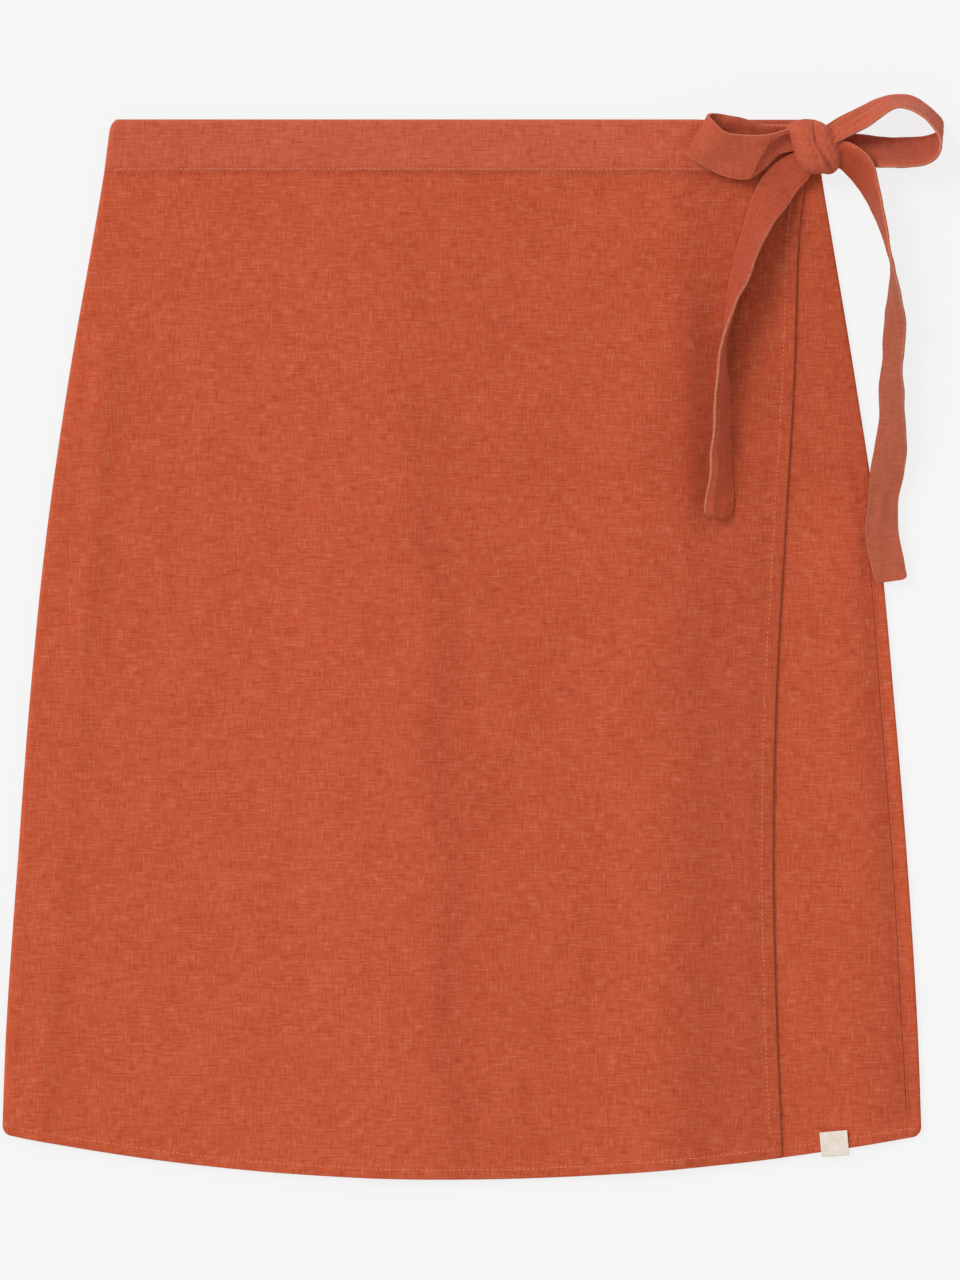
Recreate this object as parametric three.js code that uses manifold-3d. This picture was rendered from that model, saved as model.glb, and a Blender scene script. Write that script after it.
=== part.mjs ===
// A linen wrap skirt laid flat, front up, with its tie in a bow at the wearer's left side.
// Millimetres. +X to the viewer's right, +Y towards the waist, +Z up from the surface it lies on.
// The origin is on that surface, under the middle of the whole outline, bow included.

import * as THREE from 'three';
import { mergeVertices } from 'three/addons/utils/BufferGeometryUtils.js';
import Module from 'manifold-3d';

const { lerp, clamp, smoothstep, degToRad } = THREE.MathUtils;

// Clearance between pieces that touch, and between layers that lie on each other
const GAP = 0.3;

// Skirt length down its middle, waistband depth, and the height of the waist's top edge in the frame
const LENGTH = 571.9;
const BAND_DEPTH = 28;
const WAIST_Y = 279.2;

// The hem dips to its lowest a little left of the middle, and rises to each side
const HEM_LOWEST_X = -13.2;
const HEM_SIDES = {
  left: { reach: 240.8, rise: 24.3 },
  right: { reach: 252.7, rise: 23.3 },
};
const SIDE_DROP = LENGTH - HEM_SIDES.left.rise;
const HEM_CORNER = 5;

// Outline of the skirt, the over front's free edge and the right side's seam on the front, by the drop below
// the waist's top edge
const CUT = [
  { drop: 0, left: -193.6, right: 184.6, edge: 178.6, seam: 180.6 },
  { drop: 13, left: -197.9, right: 186.2, edge: 178.6, seam: 182.0 },
  { drop: 30, left: -200.1, right: 187.4, edge: 178.4, seam: 183.0 },
  { drop: 65, left: -206.0, right: 193.1, edge: 174.7, seam: 188.2 },
  { drop: 140, left: -219.0, right: 205.5, edge: 172.2, seam: 199.9 },
  { drop: 227, left: -231.4, right: 218.4, edge: 167.2, seam: 212.3 },
  { drop: 313, left: -240.0, right: 226.5, edge: 162.6, seam: 219.3 },
  { drop: 400, left: -246.5, right: 233.6, edge: 161.0, seam: 225.9 },
  { drop: 486, left: -252.5, right: 239.0, edge: 162.8, seam: 230.8 },
  { drop: 548, left: -254.9, right: 241.3, edge: 165.4, seam: 233.9 },
  { drop: 572, left: -255.4, right: 241.8, edge: 166.4, seam: 234.2 },
];

// The left side's seam runs beneath, this far in from the outline. The right side's seam stands in a low ridge.
const LEFT_SEAM_INSET = 9;
const SEAM_RIDGE = 0.5;

// The under front's hidden free edge
const UNDER_EDGE_X = -125;

// Walls of the panels and of the doubled waistband, and the mid-wall radii of the two side folds
const PANEL_WALL = 1.2;
const BAND_WALL = 1.6;
const LEFT_FOLD = 1.9;
const RIGHT_FOLD = 0.95;
const FOLD_STEPS = 5;

// Turned hems: how wide they are stitched, and how far the doubled cloth stands proud
const FOOT_HEM = 5.5;
const EDGE_HEM = 6.2;
const HEM_PROUD = 0.4;
const HEM_STEP = 0.6;

// Soft folds of the fronts: a crest from a place at the waist to one at the foot, and where it begins
const SOFT_FOLDS = [
  { topX: -186, footX: -238, spread: 9, height: 1.5, start: 60 },
  { topX: -64, footX: -42, spread: 44, height: 2.6, start: 70 },
  { topX: 84, footX: 98, spread: 20, height: 2.2, start: 50 },
  { topX: 152, footX: 146, spread: 9, height: 1.1, start: 90 },
  { topX: 198, footX: 206, spread: 12, height: 1.2, start: 110 },
];
const FOLD_FADE = 110;
const UNDER_SHARE = 0.3;

// The soft fold that ends where a front settles: off the left fold, and towards the right seam
const SETTLE_LEFT = 30;
const SETTLE_RIGHT = 8;

// The back's hem is this much shorter, so that it stays hidden
const BACK_SHORT = 1;

// Grid cells of the panels and the waistband: down, and across each layer
const PANEL_CELLS = { down: 20, over: 26, underHidden: 12, underShown: 6, back: 12 };
const BAND_CELLS = { down: 3, over: 16, underHidden: 8, underShown: 2, back: 10 };

// Hem label: its middle, its size, and how far it is turned
const LABEL = { x: 194.1, y: -273.3, width: 15, height: 13.5, turn: 5.2, thickness: 1, cells: 4 };

// The knot: its middle on the waistband, its half sizes and the way its long axis points
const KNOT = { x: 182.9, y: 263.5, z: 14.3, long: 16.6, short: 12.4, high: 8.3, turn: -45, square: 2.4 };
const KNOT_CELLS = { round: 28, high: 18 };

// The tie's wall, the steps between two of a ribbon's stations, and how far its direction is felt for
const TIE_WALL = 1.5;
const TIE_STEPS = 4;
const TIE_FEEL = 0.05;

// Vertices closer than this are one
const MERGE = 1e-4;

// The tie's four free stretches. A station has its middle, from the knot's middle but for z, the way its
// width points (across in plan, rise above the level) and its width.
const LOOP_LEFT = [
  { x: -5, y: 6, z: 9.5, across: 95, rise: 12, width: 11 },
  { x: -14, y: 5, z: 8.6, across: 94, rise: 10, width: 13 },
  { x: -26, y: 3.2, z: 8, across: 92, rise: 8, width: 19 },
  { x: -40.1, y: 4.9, z: 8, across: 88, rise: 7, width: 23 },
  { x: -55.8, y: 7.7, z: 8.6, across: 68, rise: 7, width: 24 },
  { x: -62.8, y: 6.3, z: 12.8, across: 59, rise: 6, width: 25 },
  { x: -57.9, y: 1.6, z: 17.2, across: 65, rise: 10, width: 24.5 },
  { x: -47.1, y: -4.2, z: 17.4, across: 84, rise: 14, width: 24 },
  { x: -35.2, y: -5.2, z: 16.4, across: 87, rise: 16, width: 23.5 },
  { x: -25, y: -1.4, z: 16.2, across: 82, rise: 18, width: 16 },
  { x: -16, y: 4.4, z: 15.6, across: 80, rise: 16, width: 10 },
  { x: -6, y: 6, z: 14.5, across: 85, rise: 10, width: 8 },
];
const LOOP_RIGHT = [
  { x: 6, y: 5, z: 15, across: -70, rise: 30, width: 12 },
  { x: 17.8, y: 12.2, z: 14.2, across: -72, rise: 44, width: 17 },
  { x: 32.2, y: 20.4, z: 12.2, across: -66, rise: 60, width: 21 },
  { x: 43, y: 24.8, z: 12, across: -80, rise: 68, width: 23 },
  { x: 51.8, y: 24.2, z: 12, across: -90, rise: 68, width: 23 },
  { x: 60.6, y: 18.9, z: 12, across: -96, rise: 66, width: 23 },
  { x: 68.3, y: 9.2, z: 11.6, across: -100, rise: 60, width: 23 },
  { x: 67.4, y: 2.4, z: 11.2, across: -98, rise: 52, width: 23.5 },
  { x: 60, y: -1.2, z: 10.6, across: -90, rise: 47, width: 24 },
  { x: 50.8, y: -2.4, z: 10.4, across: -88, rise: 47, width: 24 },
  { x: 41, y: -2.6, z: 10.4, across: -88, rise: 46, width: 24 },
  { x: 30.4, y: -1.6, z: 9.8, across: -86, rise: 36, width: 21.5 },
  { x: 19, y: 0.2, z: 9.2, across: -84, rise: 22, width: 14.5 },
  { x: 6, y: 1.5, z: 10.6, across: -84, rise: 20, width: 9 },
];
const TAIL_LEFT = [
  { x: -3, y: -5, z: 9.7, across: -38, rise: 0, width: 13 },
  { x: -10.5, y: -11.5, z: 8.3, across: -37, rise: 0, width: 18 },
  { x: -17, y: -18, z: 7.6, across: -34, rise: 4, width: 20 },
  { x: -23.2, y: -27.6, z: 9.2, across: -26, rise: 18, width: 20.5 },
  { x: -30.6, y: -42, z: 13.4, across: -18, rise: 47, width: 20 },
  { x: -39.1, y: -66.4, z: 14.8, across: -14, rise: 60, width: 19.5 },
  { x: -43.4, y: -82, z: 15.4, across: -10, rise: 74, width: 19 },
  { x: -47, y: -102, z: 15.7, across: -6, rise: 88, width: 18.5 },
  { x: -47.9, y: -128, z: 15.4, across: -3, rise: 113, width: 18.5 },
  { x: -49.9, y: -160.9, z: 14.1, across: -1, rise: 130, width: 18.5 },
  { x: -51.6, y: -187, z: 12.8, across: -1, rise: 140, width: 18.5 },
  { x: -51.9, y: -198.6, z: 12.2, across: -1, rise: 144, width: 14 },
];
const TAIL_RIGHT = [
  { x: 7, y: -4.2, z: 15.2, across: 88, rise: 6, width: 12 },
  { x: 16, y: -4.6, z: 15.6, across: 76, rise: 16, width: 15.5 },
  { x: 25, y: -12, z: 14.8, across: 52, rise: 40, width: 18 },
  { x: 30.8, y: -23, z: 12.6, across: 34, rise: 58, width: 18 },
  { x: 35.9, y: -36, z: 10.9, across: 18, rise: 72, width: 18 },
  { x: 40.3, y: -54, z: 10.6, across: 8, rise: 82, width: 18 },
  { x: 43.6, y: -68, z: 10.5, across: 2, rise: 82, width: 18 },
  { x: 44.4, y: -84, z: 10, across: -2, rise: 67, width: 18 },
  { x: 44.8, y: -102, z: 8.9, across: -4, rise: 53, width: 18 },
  { x: 42.9, y: -125, z: 8.6, across: -5, rise: 53, width: 18 },
  { x: 42.2, y: -152, z: 7.6, across: -5, rise: 38, width: 18 },
  { x: 40, y: -172.3, z: 6.2, across: -2, rise: 8, width: 18.5 },
  { x: 37.4, y: -190, z: 6, across: 2, rise: -3, width: 17 },
  { x: 37, y: -210, z: 5.9, across: 4, rise: -6, width: 17.8 },
  { x: 40, y: -224.6, z: 5.7, across: 6, rise: -6, width: 18 },
  { x: 42, y: -233.5, z: 5.6, across: 8, rise: -6, width: 16 },
];

const LINEN = { colour: 0xc3593b, roughness: 0.92 };
const BAND_LINEN = { colour: 0xc45e42, roughness: 0.92 };
const TIE_LINEN = { colour: 0xbe5f44, roughness: 0.92 };
const TAPE = { colour: 0xe4d8c8, roughness: 0.9 };

// A table's column at a key that may lie between its rows, on a smooth curve through them.
function along(rows, key, at, column) {
  const last = rows.length - 1;
  let i = 0;
  while (i < last - 1 && rows[i + 1][key] < at) i += 1;
  const slope = (k) => {
    const before = rows[Math.max(k - 1, 0)];
    const after = rows[Math.min(k + 1, last)];
    return (after[column] - before[column]) / (after[key] - before[key]);
  };
  const [a, b] = [rows[i], rows[i + 1]];
  const span = b[key] - a[key];
  const t = (at - a[key]) / span;
  const hermite = {
    a: 1 - 3 * t ** 2 + 2 * t ** 3,
    b: 3 * t ** 2 - 2 * t ** 3,
    slopeA: t - 2 * t ** 2 + t ** 3,
    slopeB: t ** 3 - t ** 2,
  };
  return hermite.a * a[column] + hermite.b * b[column]
    + span * (hermite.slopeA * slope(i) + hermite.slopeB * slope(i + 1));
}

// How far below the waist's top edge the hem lies at a place across the skirt.
function hemDrop(x) {
  const side = x < HEM_LOWEST_X ? HEM_SIDES.left : HEM_SIDES.right;
  return LENGTH - side.rise * ((x - HEM_LOWEST_X) / side.reach) ** 2;
}

// The rounded lower corners: how far the outline comes in at a drop.
function cornerInset(drop) {
  const below = clamp(drop - (SIDE_DROP - HEM_CORNER), 0, HEM_CORNER);
  return HEM_CORNER - Math.sqrt(HEM_CORNER ** 2 - below ** 2);
}

const leftAt = (drop) => along(CUT, 'drop', drop, 'left') + cornerInset(drop);
const rightAt = (drop) => along(CUT, 'drop', drop, 'right') - cornerInset(drop);
const leftSeamAt = (drop) => along(CUT, 'drop', drop, 'left') + LEFT_SEAM_INSET;
const rightSeamAt = (drop) => along(CUT, 'drop', drop, 'seam');
const edgeAt = (drop) => along(CUT, 'drop', drop, 'edge');

// How far the soft folds raise the fronts.
function lift(x, drop) {
  let height = 0;
  for (const fold of SOFT_FOLDS) {
    const crestX = lerp(fold.topX, fold.footX, drop / LENGTH);
    const grown = smoothstep(drop, fold.start, fold.start + FOLD_FADE);
    height += fold.height * grown * Math.exp(-(((x - crestX) / fold.spread) ** 2));
  }
  return height;
}

// Mid-wall height of a layer: 0 the back, 1 the under front, 2 the over front.
const level = (layer, wall) => wall / 2 + layer * (wall + GAP);

// A closed wall between an outer and an inner grid of points.
function closedWall(outer, inner) {
  const rows = outer.length;
  const columns = outer[0].length;
  const positions = [outer, inner].flat(2).flatMap((point) => [point.x, point.y, point.z]);
  const id = (side, row, column) => (side * rows + row) * columns + column;
  const index = [];
  const quad = (a, b, c, d) => index.push(a, b, c, a, c, d);
  for (let r = 0; r < rows - 1; r += 1) {
    for (let c = 0; c < columns - 1; c += 1) {
      quad(id(0, r, c), id(0, r, c + 1), id(0, r + 1, c + 1), id(0, r + 1, c));
      quad(id(1, r, c), id(1, r + 1, c), id(1, r + 1, c + 1), id(1, r, c + 1));
    }
  }
  for (let r = 0; r < rows - 1; r += 1) {
    quad(id(0, r, 0), id(0, r + 1, 0), id(1, r + 1, 0), id(1, r, 0));
    quad(id(0, r + 1, columns - 1), id(0, r, columns - 1), id(1, r, columns - 1), id(1, r + 1, columns - 1));
  }
  for (let c = 0; c < columns - 1; c += 1) {
    quad(id(0, 0, c + 1), id(0, 0, c), id(1, 0, c), id(1, 0, c + 1));
    quad(id(0, rows - 1, c), id(0, rows - 1, c + 1), id(1, rows - 1, c + 1), id(1, rows - 1, c));
  }
  return facingOut(positions, index);
}

// A geometry of those triangles, turned so that its faces point out.
function facingOut(positions, index) {
  const corner = (i) => new THREE.Vector3().fromArray(positions, 3 * i);
  let volume = 0;
  for (let t = 0; t < index.length; t += 3) {
    const [a, b, c] = [corner(index[t]), corner(index[t + 1]), corner(index[t + 2])];
    volume += a.dot(b.cross(c));
  }
  const geometry = new THREE.BufferGeometry();
  geometry.setAttribute('position', new THREE.Float32BufferAttribute(positions, 3));
  geometry.setIndex(volume < 0 ? index.toReversed() : index);
  return geometry;
}

// A layer of cloth. Each column gives its place, its way out and how proud its outer face stands, at a drop.
// Each row gives its drop at a place across, and how proud the cloth stands along it.
function clothLayer(columns, rows, wall) {
  const outer = [];
  const inner = [];
  for (const row of rows) {
    const outerRow = [];
    const innerRow = [];
    for (const column of columns) {
      const drop = row.dropAt(column(row.dropAt(0)).x);
      const at = column(drop);
      const proud = at.covered ? 0 : Math.max(row.proud, at.proud);
      const out = new THREE.Vector3(at.outX, 0, at.outZ);
      const middle = new THREE.Vector3(at.x, WAIST_Y - drop, at.z);
      outerRow.push(middle.clone().addScaledVector(out, wall / 2 + (at.outZ > 0 ? proud : 0)));
      innerRow.push(middle.clone().addScaledVector(out, -wall / 2));
    }
    outer.push(outerRow);
    inner.push(innerRow);
  }
  return closedWall(outer, inner);
}

// The columns round a side fold, from the underside to the top. side is -1 at the left, 1 at the right.
function foldColumns(side, radius, wall) {
  const outlineAt = side < 0 ? leftAt : rightAt;
  const columns = [];
  for (let step = 0; step <= FOLD_STEPS; step += 1) {
    const turn = degToRad(-90 + 180 * step / FOLD_STEPS);
    columns.push((drop) => ({
      x: outlineAt(drop) - side * (wall / 2 + radius) + side * radius * Math.cos(turn),
      z: wall / 2 + radius + radius * Math.sin(turn),
      outX: side * Math.cos(turn),
      outZ: Math.sin(turn),
      proud: 0,
      covered: false,
    }));
  }
  return columns;
}

// A column of level cloth: place and height are worked out at each drop. Covered cloth stays without its hem.
function flatColumn(placeAt, heightAt, outZ, proud = 0, covered = false) {
  return (drop) => {
    const x = placeAt(drop);
    return { x, z: heightAt(x, drop), outX: 0, outZ, proud, covered };
  };
}

const steps = (count) => Array.from({ length: count + 1 }, (_, i) => i / count);

// The over front or its waistband: from the seam beneath, round the left fold, and across to the free edge.
function overColumns(wall, count, edgeHem) {
  const foldTop = wall / 2 + 2 * LEFT_FOLD;
  const startX = (drop) => leftAt(drop) + wall / 2 + LEFT_FOLD;
  const heightAt = (x, drop) => {
    const settled = smoothstep(x - startX(drop), 0, SETTLE_LEFT);
    return lerp(foldTop, level(2, wall), settled) + lift(x, drop);
  };
  const seam = flatColumn(leftSeamAt, () => wall / 2, -1);
  const hemStart = (drop) => edgeAt(drop) - EDGE_HEM;
  const across = steps(count).slice(1).map((share) => (
    flatColumn((drop) => lerp(startX(drop), hemStart(drop), share), heightAt, 1)
  ));
  const hem = [
    flatColumn((drop) => hemStart(drop) + HEM_STEP, heightAt, 1, edgeHem),
    flatColumn((drop) => edgeAt(drop) - HEM_STEP, heightAt, 1, edgeHem),
    flatColumn(edgeAt, heightAt, 1, edgeHem / 2),
  ];
  return [seam, ...foldColumns(-1, LEFT_FOLD, wall), ...across, ...hem];
}

// Mid-wall height of the under front or its waistband.
function underHeight(wall) {
  const foldTop = wall / 2 + 2 * RIGHT_FOLD;
  return (x, drop) => {
    const beyondEdge = smoothstep(x, edgeAt(drop), rightSeamAt(drop));
    const raised = lift(x, drop) * lerp(UNDER_SHARE, 1, beyondEdge);
    const fallsToSeam = smoothstep(rightSeamAt(drop) - x, 0, SETTLE_RIGHT);
    return lerp(level(1, wall), foldTop, beyondEdge) + raised * fallsToSeam;
  };
}

// The under front or its waistband: from its hidden edge to the right side seam.
function underColumns(wall, cells, ridge) {
  const heightAt = underHeight(wall);
  const seamAt = (drop) => rightSeamAt(drop) - GAP / 2;
  const hidden = steps(cells.underHidden).map((share) => (
    flatColumn((drop) => lerp(UNDER_EDGE_X, edgeAt(drop) + GAP, share), heightAt, 1, 0, true)
  ));
  const shown = steps(cells.underShown).slice(1).map((share) => (
    flatColumn((drop) => lerp(edgeAt(drop) + GAP, seamAt(drop), share), heightAt, 1, share === 1 ? ridge : 0)
  ));
  return [...hidden, ...shown];
}

// The back or its waistband: flat on the surface, then round the right fold to the seam on the front.
function backColumns(wall, count, ridge) {
  const foldX = (drop) => rightAt(drop) - wall / 2 - RIGHT_FOLD;
  const foldTop = wall / 2 + 2 * RIGHT_FOLD;
  const flat = steps(count).slice(0, -1).map((share) => (
    flatColumn((drop) => lerp(leftSeamAt(drop) + GAP, foldX(drop), share), () => wall / 2, -1)
  ));
  const seam = flatColumn((drop) => rightSeamAt(drop) + GAP / 2, () => foldTop, 1, ridge);
  return [...flat, ...foldColumns(1, RIGHT_FOLD, wall), seam];
}

// Rows from the waist seam to the hem, with the turned hem standing proud.
function panelRows(count, hemProud, shortBy) {
  const top = BAND_DEPTH + GAP / 2;
  const footAt = (x) => hemDrop(x) - shortBy;
  const body = steps(count).map((share) => ({
    dropAt: (x) => lerp(top, footAt(x) - FOOT_HEM - HEM_STEP, share),
    proud: 0,
  }));
  const hem = [
    { dropAt: (x) => footAt(x) - FOOT_HEM, proud: hemProud },
    { dropAt: (x) => footAt(x) - FOOT_HEM / 2, proud: hemProud },
    { dropAt: (x) => footAt(x) - HEM_STEP, proud: hemProud },
    { dropAt: footAt, proud: hemProud / 2 },
  ];
  return [...body, ...hem];
}

// Rows of the waistband, from its top edge to the waist seam.
function bandRows(count) {
  return steps(count).map((share) => ({
    dropAt: () => share * (BAND_DEPTH - GAP / 2),
    proud: 0,
  }));
}

// The label: a small piece that follows the under front's hem, just off its face.
function labelTab() {
  const turn = degToRad(LABEL.turn);
  const grid = (off) => steps(LABEL.cells).map((up) => steps(LABEL.cells).map((share) => {
    const u = (share - 0.5) * LABEL.width;
    const v = (up - 0.5) * LABEL.height;
    const x = LABEL.x + u * Math.cos(turn) - v * Math.sin(turn);
    const y = LABEL.y + u * Math.sin(turn) + v * Math.cos(turn);
    const face = underHeight(PANEL_WALL)(x, WAIST_Y - y) + PANEL_WALL / 2 + HEM_PROUD;
    return new THREE.Vector3(x, y, face + GAP + off);
  }));
  return closedWall(grid(LABEL.thickness), grid(0));
}

// The knot: a rounded pebble of wrapped tie, grown by a margin where it only cuts its neighbours.
function knotBody(margin) {
  const geometry = new THREE.SphereGeometry(1, KNOT_CELLS.round, KNOT_CELLS.high);
  const position = geometry.getAttribute('position');
  const axes = new THREE.Vector3(KNOT.long, KNOT.short, KNOT.high).addScalar(margin);
  for (let i = 0; i < position.count; i += 1) {
    const point = new THREE.Vector3().fromBufferAttribute(position, i);
    const power = KNOT.square;
    const size = (Math.abs(point.x) ** power + Math.abs(point.y) ** power + Math.abs(point.z) ** power);
    point.multiplyScalar(size ** (-1 / power)).multiply(axes);
    position.setXYZ(i, point.x, point.y, point.z);
  }
  geometry.rotateZ(degToRad(KNOT.turn));
  geometry.translate(KNOT.x, KNOT.y, KNOT.z);
  geometry.deleteAttribute('normal');
  geometry.deleteAttribute('uv');
  return mergeVertices(geometry, MERGE);
}

// A flat ribbon through a table of stations, two cells across.
function ribbon(stations) {
  const rows = stations.map((station, place) => ({ ...station, place }));
  const count = (rows.length - 1) * TIE_STEPS;
  const centreAt = (place) => new THREE.Vector3(
    KNOT.x + along(rows, 'place', place, 'x'),
    KNOT.y + along(rows, 'place', place, 'y'),
    along(rows, 'place', place, 'z'),
  );
  const outer = [];
  const inner = [];
  for (let i = 0; i <= count; i += 1) {
    const place = i / TIE_STEPS;
    const ahead = centreAt(Math.min(place + TIE_FEEL, rows.length - 1));
    const travel = ahead.sub(centreAt(Math.max(place - TIE_FEEL, 0))).normalize();
    const across = degToRad(along(rows, 'place', place, 'across'));
    const rise = degToRad(along(rows, 'place', place, 'rise'));
    const half = along(rows, 'place', place, 'width') / 2;
    const wide = new THREE.Vector3(
      Math.cos(across) * Math.cos(rise),
      Math.sin(across) * Math.cos(rise),
      Math.sin(rise),
    );
    const out = new THREE.Vector3().crossVectors(travel, wide).normalize();
    const middle = centreAt(place);
    const points = [-1, 0, 1].map((side) => middle.clone().addScaledVector(wide, side * half));
    outer.push(points.map((point) => point.clone().addScaledVector(out, TIE_WALL / 2)));
    inner.push(points.map((point) => point.clone().addScaledVector(out, -TIE_WALL / 2)));
  }
  return closedWall(outer, inner);
}

const wasm = await Module();
wasm.setup();

function toManifold(geometry) {
  const merged = mergeVertices(geometry, MERGE);
  return new wasm.Manifold(new wasm.Mesh({
    numProp: 3,
    vertProperties: merged.getAttribute('position').array,
    triVerts: Uint32Array.from(merged.getIndex().array),
  }));
}

function fromManifold(solid) {
  const mesh = solid.getMesh();
  const geometry = new THREE.BufferGeometry();
  geometry.setAttribute('position', new THREE.BufferAttribute(mesh.vertProperties, 3));
  geometry.setIndex(new THREE.BufferAttribute(mesh.triVerts, 1));
  return geometry;
}

// A stretch of tie, cut off just clear of the knot that it comes out of.
function tieFromKnot(stations) {
  return fromManifold(toManifold(ribbon(stations)).subtract(toManifold(knotBody(GAP))));
}

const group = new THREE.Group();

function addPiece(name, geometry, finish) {
  const material = new THREE.MeshStandardMaterial({
    color: finish.colour,
    roughness: finish.roughness,
    metalness: 0,
    side: THREE.DoubleSide,
  });
  const mesh = new THREE.Mesh(geometry, material);
  mesh.name = name;
  group.add(mesh);
}

const panel = (columns, hemProud, shortBy) => (
  clothLayer(columns, panelRows(PANEL_CELLS.down, hemProud, shortBy), PANEL_WALL)
);
const band = (columns) => clothLayer(columns, bandRows(BAND_CELLS.down), BAND_WALL);

addPiece('back_panel', panel(backColumns(PANEL_WALL, PANEL_CELLS.back, SEAM_RIDGE), 0, BACK_SHORT), LINEN);
addPiece('under_front', panel(underColumns(PANEL_WALL, PANEL_CELLS, SEAM_RIDGE), HEM_PROUD, 0), LINEN);
addPiece('over_front', panel(overColumns(PANEL_WALL, PANEL_CELLS.over, HEM_PROUD), HEM_PROUD, 0), LINEN);
addPiece('waistband_back', band(backColumns(BAND_WALL, BAND_CELLS.back, 0)), BAND_LINEN);
addPiece('waistband_under', band(underColumns(BAND_WALL, BAND_CELLS, 0)), BAND_LINEN);
addPiece('waistband_over', band(overColumns(BAND_WALL, BAND_CELLS.over, 0)), BAND_LINEN);
addPiece('hem_label', labelTab(), TAPE);
addPiece('tie_knot', knotBody(0), TIE_LINEN);
addPiece('tie_loop_left', tieFromKnot(LOOP_LEFT), TIE_LINEN);
addPiece('tie_loop_right', tieFromKnot(LOOP_RIGHT), TIE_LINEN);
addPiece('tie_tail_left', tieFromKnot(TAIL_LEFT), TIE_LINEN);
addPiece('tie_tail_right', tieFromKnot(TAIL_RIGHT), TIE_LINEN);

export default group;
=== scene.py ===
import math

import bmesh
import bpy
import numpy as np
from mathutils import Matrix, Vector


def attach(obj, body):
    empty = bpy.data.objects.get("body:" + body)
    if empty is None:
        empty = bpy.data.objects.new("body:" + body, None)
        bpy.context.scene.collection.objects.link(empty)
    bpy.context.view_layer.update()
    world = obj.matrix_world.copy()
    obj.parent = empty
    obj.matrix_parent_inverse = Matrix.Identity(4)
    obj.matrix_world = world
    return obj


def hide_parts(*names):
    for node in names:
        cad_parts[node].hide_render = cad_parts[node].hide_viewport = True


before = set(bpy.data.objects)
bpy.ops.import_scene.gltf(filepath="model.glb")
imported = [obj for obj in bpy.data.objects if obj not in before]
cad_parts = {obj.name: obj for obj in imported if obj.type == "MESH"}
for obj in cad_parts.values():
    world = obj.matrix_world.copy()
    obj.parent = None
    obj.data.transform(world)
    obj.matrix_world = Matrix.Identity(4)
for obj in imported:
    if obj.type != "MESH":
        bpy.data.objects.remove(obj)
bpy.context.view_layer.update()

# A linen wrap skirt laid flat on a pale floor, front up. Sizes are in millimetres in the part's frame, and
# meshes are made in metres. A drop is a distance below the waist's top edge. Heights are above the floor.
MM = 0.001
WAIST_Y = 279.2


def table(names, rows):
    """A table's columns by name."""
    return {name: np.array(column, float) for name, column in zip(names.split(), zip(*rows))}


# The cut, as in the solids but for slightly rounder hem corners. The hem curves up to each side of its lowest
# point, and a corner ends at its foot.
GAP = 0.3
LENGTH = 571.9
BAND_DEPTH = 28.0
HEM_LOWEST_X = -13.2
HEM_REACH = (240.8, 252.7)
HEM_RISE = (24.3, 23.3)
SIDE_DROP = LENGTH - HEM_RISE[0]
HEM_CORNER = 6.0
LEFT_CORNER_FOOT = 548.6
RIGHT_CORNER_FOOT = 549.4

# The back is a little shorter under the fronts. The left seam and the under front's free edge are hidden.
BACK_SHORT = 1.0
SHORT_ENDS = (214.0, 230.0)
LEFT_SEAM_INSET = 9.0
UNDER_EDGE_X = -125.0

# The panels tuck under the waistband, whose top edge dips towards the knot
PANEL_TUCK = 1.0
BAND_DIP = 2.6
DIP_ENDS = (118.0, 152.0)

# Walls, the side folds' mid-wall radii, and how far in from the sides the layers settle on each other
PANEL_WALL = 1.2
BAND_WALL = 1.6
LEFT_FOLD = 1.9
RIGHT_FOLD = 0.95
SETTLE_LEFT = 30.0
SETTLE_RIGHT = 8.0
CUT = table("drop left right edge seam", [
    (0, -193.6, 184.6, 178.6, 180.6),
    (3.2, -196.2, 185.0, 178.6, 180.9),
    (13, -197.9, 186.2, 178.6, 182.0),
    (30, -200.1, 187.4, 178.4, 183.0),
    (65, -206.0, 193.1, 174.7, 188.2),
    (140, -219.0, 205.5, 172.2, 199.9),
    (227, -231.4, 218.4, 167.2, 212.3),
    (313, -240.0, 226.5, 162.6, 219.3),
    (400, -246.5, 233.6, 161.0, 225.9),
    (486, -252.5, 239.0, 162.8, 230.8),
    (548, -254.9, 241.3, 165.4, 233.9),
    (572, -255.4, 241.8, 166.4, 234.2),
])

# The soft folds' crests. Each rises over FOLD_FADE below its start. The hidden cloth has UNDER_SHARE of it.
UNDER_SHARE = 0.3
FOLD_FADE = 110.0
SOFT_FOLDS = table("top_x foot_x spread height start", [
    (-186, -238, 9, 1.5, 60),
    (-64, -42, 44, 2.6, 70),
    (84, 98, 20, 2.2, 50),
    (152, 146, 9, 1.1, 90),
    (198, 206, 12, 1.2, 110),
])

# The cloth's own thickness, the turned hems' widths and how proud they stand, and the rounding of a rim
CLOTH = 0.8
BAND_CLOTH = 1.15
FOOT_HEM = 6.0
EDGE_HEM = 6.8
HEM_PROUD = 0.4
HEM_SOFT = 0.9
RIM_BULGE = 0.3

# The right side's seam is a low ridge where it shows, and the under front tucks in beside it. A pair of sizes
# is for where the seam is shut and where it shows.
SEAM_RIDGE = 0.6
SEAM_SPREAD = 1.3
SEAM_OPENS = (200.0, 265.0)
SEAM_CLOSES = (533.0, 543.0)
SEAM_LAP = 0.8
SEAM_TUCK = (0.03, 0.6)
SEAM_TUCK_ENDS = (-0.7, -0.1)
SEAM_GAP = (-0.1, -0.06)

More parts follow.
